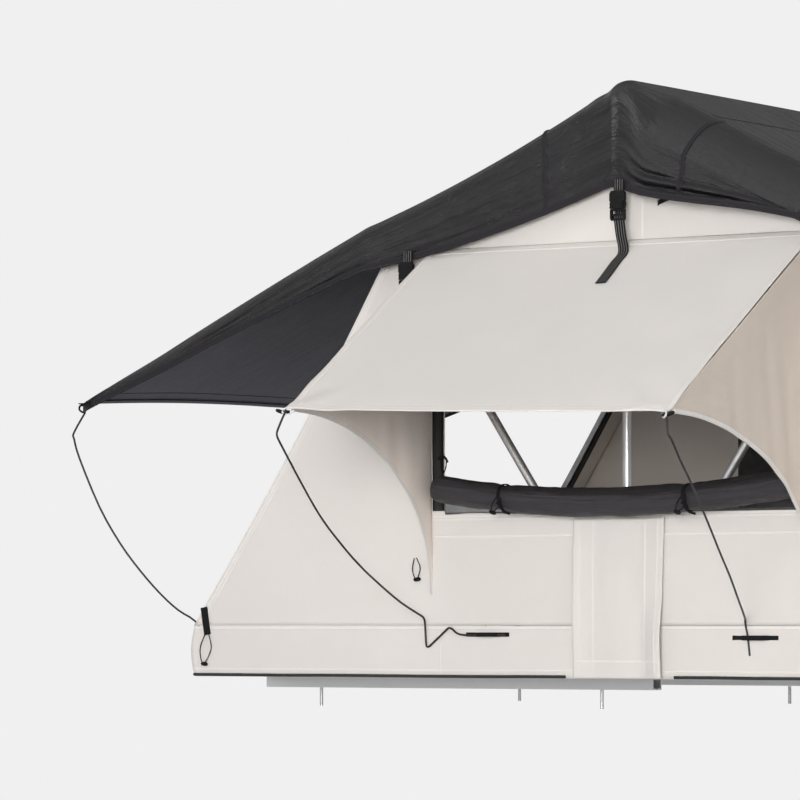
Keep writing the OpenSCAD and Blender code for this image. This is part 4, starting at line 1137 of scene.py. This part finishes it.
def farAwning():
    piece = Piece()
    half = awning["half"]
    x, v = np.meshgrid(np.linspace(-half, half, 110), np.linspace(1, 0, 80))

    def at(x, v):
        loose = ease(v / 0.1)
        out = 0.0012 + 0.003 * loose * (0.5 + 0.5 * ripple(x * 3.3, v * 3.4, 127))
        out = out + 0.0015 * loose * ripple(x * 9 + v * 3, v * 5, 131)
        out = np.maximum(out, 0.0002)
        return spots(x, awning["farOut"] + out, awning["top"][1] - awning["farLength"] * v)

    piece.sheet(at(x, v), awning["thick"], (0, 1), face=(0, 1, 0))
    xs = np.linspace(-half + 0.004, half - 0.004, 120)
    for share, width in awning["farHems"]:
        piece.ribbon(at(xs, share), (0, 1, 0), width, 0.0011, 0.001, slot=2)
    for s in (-1, 1):
        vs = np.linspace(0.03, 0.98, 100)
        piece.ribbon(at(s * (half - 0.008), vs), (0, 1, 0), 0.014, 0.0011, 0.001, slot=2)
        tip = at(s * (half - 0.012), 0.99)
        loop = [(-0.008, 0.001, 0.004), (-0.007, 0.004, -0.012), (0, 0.005, -0.02), (0.007, 0.004, -0.012),
                (0.008, 0.001, 0.004)]
        piece.tube(curve([tip + p for p in loop], 18), 0.002, 6, 3)
    cloths = sewnCanvas + ["loop"]
    return piece.make("awning_cloth_far", cloths, "awning_far", "awning_far", "canvas", gathered=True)


awningCloth, gussetCloth, awningBack = nearAwning(), gussets(), farAwning()

flap = {
    "half": 0.122,
    "top": 0.366,
    "topFar": 0.256,
    "fold": 0.006,
    "open": 0.017,
    "stitches": (-0.106, -0.07, 0.07, 0.106),  # faint rows
}


def flapPoints(x, z, side, top):
    x, z = np.broadcast_arrays(np.asarray(x, float), np.asarray(z, float))
    u, v = x / flap["half"] * 0.5 + 0.5, z / top
    loose = ease((1 - v) / 0.8)
    wave = 0.3 + 0.25 * np.cos(u * 4 * np.pi + 0.7) + 0.4 * ripple(u * 3.3, v * 1.7, 137 + side)
    out = 0.0032 + flap["fold"] * (0.25 + 0.75 * loose) * wave
    out = out + 0.0011 * ripple(u * 8, v * 5, 139) + 0.004 * ease((0.12 - u) / 0.12) * hump(np.clip(v, 0, 1))
    # its right edge stands off the wall
    edge = flap["open"] * (0.22 + 0.78 * ease((0.19 - z) / 0.1)) * ease((u - 0.72) / 0.28)
    drawn = 0.006 * ease((u - 0.6) / 0.4) * np.sin(np.pi * np.clip(v, 0, 1))
    drawn = drawn + 0.004 * ripple(v * 3, u * 0, 141) * (2 * u - 1)
    return spots(x - drawn, side * (canvas["face"] + out + edge), z)


def foldFlap(name, side, node, top):
    piece = Piece()
    x, z = np.meshgrid(np.linspace(-flap["half"], flap["half"], 60), np.linspace(0.0015, top, 76))
    piece.sheet(flapPoints(x, z, side, top), canvas["thick"], (0, 1), face=(0, side, 0))
    zs = np.linspace(0.012, top - 0.004, 70)
    for at in flap["stitches"]:
        piece.ribbon(flapPoints(at, zs, side, top), (0, side, 0), 0.0035, 0.0003, 0.0012, slot=2)
    xs = np.linspace(-flap["half"] + 0.003, flap["half"] - 0.003, 60)
    piece.ribbon(flapPoints(xs, 0.04, side, top), (0, side, 0), 0.004, 0.0003, 0.0012, slot=2)
    return piece.make(name, sewnCanvas, "bow_ridge", node, "canvas", gathered=True)


nearFlap = foldFlap("fold_cloth_near", -1, "fold_flap_near", flap["top"])
farFlap = foldFlap("fold_cloth_far", 1, "fold_flap_far", flap["topFar"])
print("awnings and flaps done")

roll = {
    "radius": 0.0345,
    "sag": 0.037,
    "ends": 0.440,
    "out": 0.7336,
    "half": 0.4755,
    "ties": (-0.287, 0.205),
    "turns": 5.2,
}


def rollCentre(x):
    t = np.asarray(x, float) / roll["half"]
    return spots(x, -roll["out"], roll["ends"] - roll["sag"] * (1 - t * t))


def lumpyRoll(piece, path, radius, seed, ties):
    # cloth rolled on itself, with slack folds along it, drawn in at the ties
    n, sides = len(path), 40
    s = along(path)
    turn = np.linspace(0, 2 * math.pi, sides, endpoint=False)
    size = np.zeros((n, sides))
    for j, a in enumerate(turn):
        ca, sa = math.cos(a), math.sin(a)
        size[:, j] = 0.92 + 0.06 * ripple(s * 5 + ca * 1.6, sa * 2.6 + 7, seed)
        size[:, j] += 0.04 * ripple(s * 17 + ca * 3, sa * 4 + 3, seed + 1)
        layer = ease((a / (2 * math.pi) + 0.15) % 1.0)
        size[:, j] += 0.025 * ripple(s * 40 - ca * 5, sa * 6 + 5, seed + 2) + 0.05 * layer - 0.02
    for at in ties:
        size *= 1 - 0.13 * dent(s, at, 0.02)[:, None]
    edge = np.minimum(s, s[-1] - s)
    size *= (0.86 + 0.14 * ease(edge / 0.012))[:, None]
    piece.tube(path, radius * np.minimum(size, 1.0), sides, 0, up=(0, 1, 0.0001))


def windowNet():
    piece = Piece()
    xs = np.linspace(-roll["half"], roll["half"], 170)
    path = rollCentre(xs)
    lumpyRoll(piece, path, roll["radius"] + 0.0006, 149, [x + roll["half"] for x in roll["ties"]])
    for end, s in ((0, -1), (-1, 1)):  # the rolled layers seen at each end
        a = np.linspace(0, roll["turns"] * 2 * math.pi, 150)
        r = 0.004 + 0.026 * a / a[-1]
        c = path[end]
        spiral = spots(c[0] + s * 0.0002, c[1] + r * np.cos(a), c[2] + r * np.sin(a))
        piece.tube(spiral, 0.0009, 5, 0, up=(1, 0.02, 0.03))
    for s in (-1, 1):  # loose net between the roll's ends and the sill
        x, t = np.meshgrid(np.linspace(0.16, roll["half"] - 0.001, 50), np.linspace(0, 1, 14))
        c = rollCentre(s * x)
        low = canvas["sill"] - 0.006
        z = lerp(low, np.maximum(c[..., 2] - 0.02, low + 0.002), t)
        y = -(canvas["face"] + 0.0015 + 0.012 * t + 0.004 * t * (1 + ripple(x * 17, t * 3, 151)))
        piece.sheet(spots(s * x, y, z), 0.0006, (1, 1), face=(0, -1, 0))
    for x in roll["ties"]:
        c = rollCentre(np.array(x))
        a = np.linspace(0, 2 * math.pi, 40)
        r = roll["radius"] * 0.9
        ring = spots(c[0] + 0.002 * np.sin(a * 2), c[1] + r * np.cos(a), c[2] + r * np.sin(a))
        piece.ribbon(ring, ring - c, 0.009, 0.0012, 0.001, slot=2)
        knot = c + np.array([0.004, -r * 0.9, r * 0.25])
        toggle(piece, knot, unit(np.array([-0.3, -0.3, -1.0])), 2, 3, 0.046)
        knob = knot + np.array([0.006, -0.006, -0.028])
        tail = [(-0.012, 0, 0.008), (0, 0, 0), (0.006, 0.001, -0.012), (0.022, 0.004, -0.018)]
        piece.tube(curve([knob + b for b in tail], 14), 0.003, 8, 2)
    # the hook that holds the roll's left end up, and its loop of elastic
    top = rollCentre(np.array(-roll["half"])) + (0, 0.002, roll["radius"])
    bow = [(-0.002, 0.006, 0.036), (0.012, 0, 0.042), (0.024, -0.002, 0.036), (0.030, -0.003, 0.027)]
    piece.tube(curve([top + b for b in bow], 18), 0.0034 * np.linspace(1, 0.75, 18), 8, 3)
    sling = [(0.011, -0.001, 0.036), (0.010, -0.001, 0.018), (0.016, -0.001, 0.001), (0.024, -0.001, 0.016),
             (0.026, -0.002, 0.031)]
    piece.tube(curve([top + b for b in sling], 24), 0.0015, 6, 2)
    cloths = ["net", "netLoose", "webbing", "plastic"]
    piece.make("window_net", cloths, "bow_ridge", "window_roll", "net", gathered=True)


windowNet()

zipStrip = {
    "off": 0.018,
    "width": 0.032,
    "bindings": (-0.013, 0.013),
    "binding": 0.005,
    "pull": (0.008, 0.03),
}


def windowZips():
    piece = Piece()
    seed = canvas["nearSeed"]
    for x in (-canvas["window"] - zipStrip["off"], canvas["window"] + zipStrip["off"]):
        zs = np.linspace(canvas["sill"] + 0.004, canvas["head"] - 0.004, 80)
        piece.ribbon(wallPoints(x, zs, -1, seed), (0, -1, 0), zipStrip["width"], 0.0016, 0.0004, slot=0)
        for off in zipStrip["bindings"]:
            line = wallPoints(x + off, zs, -1, seed) - (0, 0.0012, 0)
            piece.ribbon(line, (0, -1, 0), zipStrip["binding"], 0.001, 0.0006, slot=1)
        tab = wallPoints(x, canvas["sill"] + 0.05, -1, seed) - (0, 0.0035, 0)
        piece.plate(softBox(*zipStrip["pull"], 0.003), tab, (1, 0, 0), (0, 0, 1), 0.002, slot=2)
    cloths = ["zip", "webbing", "plastic"]
    piece.make("window_zip_tapes", cloths, "bow_ridge", "window_zips", "zip", gathered=True)


windowZips()

doorRoll = {"radius": 0.034, "half": 0.518, "along": 0.971, "out": 0.0353, "sag": 0.004, "ties": (0.2, 0.836)}


def rolledDoor(name, side, node, body):
    piece = Piece()
    (footX, footZ), (topX, topZ) = canvas["foot"], canvas["corner"]
    up = unit(np.array([footX - topX, topZ - footZ]))
    at = np.array([-footX, footZ]) + doorRoll["along"] * up
    c = at + (doorRoll["out"] + up[0] * doorRoll["sag"]) * np.array([-up[1], up[0]])
    ys = np.linspace(-doorRoll["half"], doorRoll["half"], 120)
    t = ys / doorRoll["half"]
    path = spots(side * -c[0], ys, c[1] - doorRoll["sag"] * (1 - t * t))
    lumpyRoll(piece, path, doorRoll["radius"], 157 + side, doorRoll["ties"])
    for y in doorRoll["ties"]:
        k = int(y / (2 * doorRoll["half"]) * 119)
        a = np.linspace(0, 2 * math.pi, 36)
        r = doorRoll["radius"] * 0.89
        c = path[k]
        ring = spots(c[0] + r * np.cos(a), c[1] + 0.002 * np.sin(a), c[2] + r * np.sin(a))
        piece.ribbon(ring, ring - c, 0.014, 0.0012, 0.001, slot=1)
        hang = unit(np.array([side * 0.3, 0.1, -1.0]))
        toggle(piece, c + (side * r * 0.9, 0, -r * 0.4), hang, 1, 2, 0.03)
    made = piece.make(name, ["canvas", "webbing", "plastic"], body, node, "canvas")
    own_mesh(made)


for end, side in (("left", -1), ("right", 1)):
    rolledDoor("door_cloth_" + end, side, "door_roll_" + end, "bow_" + end)
print("rolls done")

strap = {"x": 0.545, "ridgeX": 0.026, "out": 0.0128, "width": 0.027, "buckle": (0.040, 0.011, 0.068)}


def buckleShape(piece, at, right):
    # a side-release buckle: socket above, prongs and strap bar below
    w, d, h = strap["buckle"]
    up = (0, 0, 1)

    def slab(outline, deep, front=0.0, soft=0.0012):
        flat = [(a * w / 2, b * h) for a, b in outline][::-1]
        piece.plate(flat, at + np.cross(right, up) * front, right, up, deep, 0, soft)

    half = [(0.8, 1), (1, 0.9), (1, 0.66), (0.74, 0.6), (0.74, 0.5), (1, 0.44), (0.94, 0.4)]
    slab([(-0.8, 1), *half, *[(-a, b) for a, b in half[:0:-1]]], d)
    prong = [(0.76, 0.6), (1.0, 0.63), (1.04, 0.55), (0.98, 0.47), (0.76, 0.5)]
    leg = [(0.7, 0.02), (0.96, 0.04), (0.96, 0.38), (0.7, 0.38)]
    for s in (-1, 1):
        for shape in (prong, leg):
            slab([(s * a, b) for a, b in shape[::s]], d * 0.8)
    for low, high in ((0.0, 0.07), (0.15, 0.22), (0.32, 0.39)):
        slab([(-0.9, low), (0.9, low), (0.9, high), (-0.9, high)], d * 0.72)
    slab([(-0.5, 0.78), (0.5, 0.78), (0.5, 0.84), (-0.5, 0.84)], 0.001, d, 0.0003)


def strapSet():
    piece, hardware = Piece(), Piece()
    for side in (-1, 1):
        for x in (-strap["x"], strap["ridgeX"], strap["x"]):
            low = float(flyHem(x, side))
            y0 = side * (float(flyHalf(x)) + strap["out"])
            top = np.array([x, y0, low + 0.02])
            buckleShape(hardware, np.array([x, y0 + side * 0.0004, low - 0.074]), (-side, 0, 0))
            behind = y0 - side * 0.002
            hung = [top, top + (0, side * 0.0006, -0.02), (x, behind, low - 0.04), (x, behind, low - 0.073)]
            piece.ribbon(curve(hung, 20), (0, side, 0), strap["width"], 0.0011, 0.0009, slot=1)
            if x == strap["ridgeX"] and side < 0:  # this tail lies on the awning
                free = [(0, 0.003, 0.060), (0.006, 0.007, 0.084), (0.011, 0.010, 0.108)]
                tail = [(x + a, y0 - b, low - c) for a, b, c in free]
                for v in (0.075, 0.13, 0.19, 0.25):
                    tail.append(awningPoints(0.040 + 0.03 * v, v) + (0, -0.0018, 0.0028))
            else:
                end = low - 0.05 - (0.115 if x == strap["ridgeX"] else 0.07)
                tail = [(x, y0 + side * 0.003, low - 0.055), (x + 0.006, y0 + side * 0.007, low - 0.075)]
                tail.append((x + 0.02, y0 + side * 0.006, end))
            line = curve(tail, 34)
            lie = np.cross(unit(np.gradient(line, axis=0)), np.array([1.0, 0, 0])) * -1
            face = np.where((lie @ np.array([0, side, 0.2]))[:, None] < 0, -lie, lie)
            piece.ribbon(line, face, strap["width"], 0.0012, 0.0008, slot=1)
    cloths = ["webbing", "tracer"]
    piece.make("fly_strap_webbing", cloths, "bow_ridge", "fly_straps", "webbing", gathered=True)
    hardware.make("fly_strap_buckles", ["plastic"], "bow_ridge", "fly_buckles", "buckle", gathered=True)


strapSet()

webbing = {
    "face": 0.6984,
    "long": 0.118,
    "rodX": 0.358,
    "end": (1.2034, 0.64, 0.074),
    "step": 0.024,  # from the end strips of one half to those of the other
    "tab": (1.161, 1.172),  # at the foot and head of a corner tab
}


def bridge(piece, centre, ahead, out, width, rise=0.0085):
    # a sewn-down strip that stands up over a rod
    t = np.linspace(-1, 1, 40)
    lift = rise * ease((0.62 - np.abs(t)) / 0.3)
    line = np.asarray(centre) + np.outer(t * webbing["long"] / 2, ahead) + np.outer(lift + 0.0008, out)
    tilt = np.gradient(lift, t * webbing["long"] / 2)
    face = np.asarray(out)[None] - tilt[:, None] * np.asarray(ahead)[None]
    piece.ribbon(line, face, width, 0.0009, 0.0008)


def webbingSet(name, side, node, body):
    piece = Piece()
    face = webbing["face"]
    if side < 0:
        bridge(piece, (-webbing["rodX"], -face, 0.101), (1, 0, 0), (0, -1, 0), 0.010, rise=0.0078)
    else:
        bridge(piece, (webbing["rodX"] - 0.004, -face, 0.094), (1, 0, 0), (0, -1, 0), 0.011)
    step = 0 if side < 0 else webbing["step"]
    endX, endY, endZ = webbing["end"]
    for y in (-1, 1):
        corner = (side * endX, y * (endY - step), endZ)
        bridge(piece, corner, (0, 1, 0), (side, 0, 0), 0.011)
        zs = np.linspace(0.166, 0.1, 24)
        x = side * lerp(*webbing["tab"], (zs - 0.1) / 0.066)
        piece.ribbon(spots(x, y * (face + 0.0026), zs), (0, y, 0), 0.019, 0.0012, 0.0012, slot=0)
        hang = (side * 0.09, y * 0.02, -1)
        toggle(piece, (side * webbing["tab"][0], y * (face + 0.0045), 0.104), hang, 0, 1, 0.074)
    piece.make(name, ["webbing", "plastic"], body, node, "webbing")


for half, side in (("fixed", -1), ("folding", 1)):
    webbingSet("webbing_strips_" + half, side, "webbing_" + half, "base_" + half)
print("straps and webbing done")

rod = {
    "radius": 0.0025,
    "left": [
        (-0.308, -0.7012, 0.1), (-0.424, -0.7012, 0.1), (-0.455, -0.7012, 0.114),
        (-0.464, -0.7012, 0.1165), (-0.472, -0.7012, 0.111), (-0.515, -0.7012, 0.076),
        (-0.522, -0.702, 0.072), (-0.527, -0.702, 0.078), (-0.530, -0.703, 0.126),
        (-0.530, -0.7065, 0.1375), (-0.530, -0.715, 0.1435), (-0.5285, -0.7465, 0.1538),
        (-0.5275, -0.8107, 0.1768), (-0.526, -0.8957, 0.2155), (-0.524, -0.9804, 0.2584),
        (-0.5225, -1.0633, 0.3098), (-0.520, -1.1466, 0.3695), (-0.517, -1.2297, 0.4465),
        (-0.515, -1.2716, 0.488), (-0.5115, -1.3192, 0.5334), (-0.511, -1.3277, 0.5443),
        (-0.5105, -1.3284, 0.5532), (-0.510, -1.3176, 0.5714), (-0.507, -1.2987, 0.6033),
    ],
    "right": [
        (0.340, -0.7012, 0.054), (0.335, -0.7012, 0.0965), (0.3305, -0.704, 0.126),
        (0.336, -0.715, 0.1375), (0.358, -0.760, 0.1475), (0.393, -0.8452, 0.1804),
        (0.427, -0.9395, 0.2278), (0.460, -1.040, 0.2786), (0.487, -1.1293, 0.3308),
        (0.507, -1.2058, 0.3803), (0.521, -1.2716, 0.4274), (0.529, -1.3266, 0.4701),
        (0.530, -1.3612, 0.509), (0.528, -1.3742, 0.5233), (0.522, -1.3681, 0.5447),
        (0.509, -1.3501, 0.5688),
    ],
}


def propRod(name, node, body, line):
    piece = Piece()
    piece.tube(curve(line, 260), rod["radius"], 8, 0, up=(0.9, 0.2, 0.1))
    piece.make(name, ["rod"], body, node, "black_steel")


propRod("prop_rod_left", "rod_near_left", "base_fixed", rod["left"])
propRod("prop_rod_right", "rod_near_right", "base_folding", rod["right"])

mattress = {"voxel": 0.014, "pressure": 4.0, "frames": 20, "cap": 0.012, "shrink": 0.006, "grow": 0.004}


def simulateMattress(node):
    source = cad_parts[node]
    obj = bpy.data.objects.new("mattress_cover_fixed", source.data.copy())
    scene.collection.objects.link(obj)
    remesh = obj.modifiers.new("even", "REMESH")
    remesh.mode, remesh.voxel_size = "VOXEL", mattress["voxel"]
    even = bpy.data.meshes.new_from_object(obj.evaluated_get(bpy.context.evaluated_depsgraph_get()))
    obj.modifiers.clear()
    obj.data = even
    start = np.array([v.co for v in even.vertices], float)
    low, high = start.min(0), start.max(0)
    middle = (low + high) / 2
    start[:, :2] += np.clip(middle[:2] - start[:, :2], -mattress["shrink"], mattress["shrink"])
    even.vertices.foreach_set("co", start.ravel())
    even.update()
    cloth = obj.modifiers.new("swell", "CLOTH")
    cloth.settings.use_pressure = True
    cloth.settings.uniform_pressure_force = mattress["pressure"]
    cloth.settings.effector_weights.gravity = 0
    cloth.settings.quality = 5
    pin = obj.vertex_groups.new(name="floor")
    pin.add([int(i) for i in np.where(start[:, 2] < low[2] + 0.004)[0]], 1.0, "REPLACE")
    cloth.settings.vertex_group_mass = "floor"
    cloth.point_cache.frame_end = mattress["frames"]
    for f in range(1, mattress["frames"] + 1):
        scene.frame_set(f)
    swollen = bpy.data.meshes.new_from_object(obj.evaluated_get(bpy.context.evaluated_depsgraph_get()))
    end = np.array([v.co for v in swollen.vertices], float)
    scene.frame_set(1)
    obj.modifiers.clear()
    move = end - start
    far = np.linalg.norm(move, axis=1, keepdims=True)
    start = start + move * np.minimum(1, mattress["cap"] / np.maximum(far, 1e-9))
    start[:, 2] = np.maximum(start[:, 2], low[2])
    grow = mattress["grow"]
    start = np.clip(start, low - (grow, grow, 0), high + grow)
    bpy.data.objects.remove(obj)
    return start, [list(p.vertices) for p in even.polygons]


def mattressPiece(name, node, body, points, faces, mirror):
    mesh = bpy.data.meshes.new(name)
    if mirror:
        points = points * (-1, 1, 1) + (2 * shift[0], 0, 0)
        faces = [f[::-1] for f in faces]
    mesh.from_pydata(points.tolist(), [], faces)
    mesh.polygons.foreach_set("use_smooth", [True] * len(faces))
    mesh.materials.append(look["foam"])
    obj = bpy.data.objects.new(name, mesh)
    scene.collection.objects.link(obj)
    obj.modifiers.new("smooth", "SUBSURF").render_levels = 1
    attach(obj, body)
    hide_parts(node)


cushion, cushionFaces = simulateMattress("mattress_fixed")
for half, mirror in (("fixed", False), ("folding", True)):
    mattressPiece("mattress_cover_" + half, "mattress_" + half, "base_" + half, cushion, cushionFaces, mirror)
print("mattress done")

nodeFinish = {
    "board": ["floor_fixed", "floor_folding"],
    "alloy": [
        "edge_frame_fixed", "edge_frame_folding", "rail_near", "rail_far", "brackets_fixed",
        "brackets_folding", "bow_tube_left", "bow_tube_right", "bow_tube_ridge", "fly_pole_left",
        "fly_pole_right", "fly_pole_ridge", "ladder_brackets", "ladder_upper", "ladder_lower",
    ],
    "steel": [
        "rail_bolts", "fold_pins", "bow_pins_fixed", "bow_pins_folding", "ladder_pins", "bow_feet_left",
        "bow_feet_right", "bow_feet_ridge",
    ],
    "rod": [
        "rod_near_left", "rod_near_right", "rod_end_left_near", "rod_end_left_far", "rod_end_right_near",
        "rod_end_right_far",
    ],
    "rubber": ["ladder_feet"],
}
for finish, names in nodeFinish.items():
    for n in names:
        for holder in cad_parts[n].material_slots:
            holder.material = look[finish]
print("rigid finishes set")

stage = {
    "floor": -2.152,
    "wide": 60,
    "aim": (0.4, -0.3, 0.7),
    "pale": (0.82, 0.82, 0.82),
    "ambient": 0.93,  # at the horizon
    "zenith": 0.06,
    "backdrop": 0.871,
    "floorGlow": 0.22,  # where the floor is seen
    "spread": 110,  # keeps the lamps off the floor below them
    "key": {"at": (3.6, -8.4, 1.4), "size": 3.0, "watts": 186},
    "over": {"at": (-0.1, -4.4, 6.5), "size": 1.8, "watts": 22},
    "fill": {"at": (8.6, -4.2, 1.5), "size": 4.0, "watts": 24},
    "back": {"at": (1.0, 6.5, 4.0), "size": 5.0, "watts": 30},
}


def setStage(s):
    bpy.ops.mesh.primitive_plane_add(size=s["wide"], location=(0.6, 0, s["floor"]))
    floor = bpy.context.object
    floor.name = "studio_floor"

    def pale(w):
        spot = w.place()[0]
        lit = w.seen() * s["floorGlow"]
        cloud = w.noise(spot, 3.0, 3.0)
        return {"Base Color": cloud.mix(tuple(0.98 * c for c in s["pale"]), s["pale"]), "Emission Color": lit}

    floor.data.materials.append(finishOf("studio_floor", pale, Roughness=0.9, Emission_Strength=1.0))
    world = bpy.data.worlds.new("studio")
    scene.world = world
    world.use_nodes = True
    w = Wire(world.node_tree)
    world.node_tree.nodes.clear()
    height = w.node("SeparateXYZ", {}, {0: w.node("TexCoord", out="Generated")}, out=2)
    glow = w.maths("MAXIMUM", height, 0.0) * (s["zenith"] - s["ambient"]) + s["ambient"]
    strength = w.seen() * (s["backdrop"] - glow) + glow
    sky = w.node("Background", {}, {"Color": (1, 1, 1, 1), "Strength": strength})
    w.node("OutputWorld", {}, {"Surface": sky}, out=None)
    for name in ("key", "over", "fill", "back"):
        lamp = s[name]
        data = bpy.data.lights.new(name, "AREA")
        data.shape, data.size, data.energy = "DISK", lamp["size"], lamp["watts"]
        data.spread = math.radians(s["spread"])
        obj = bpy.data.objects.new(name, data)
        obj.location = lamp["at"]
        aim = Vector(s["aim"]) - Vector(lamp["at"])
        obj.rotation_euler = aim.to_track_quat("-Z", "Y").to_euler()
        scene.collection.objects.link(obj)


setStage(stage)
print("stage set")
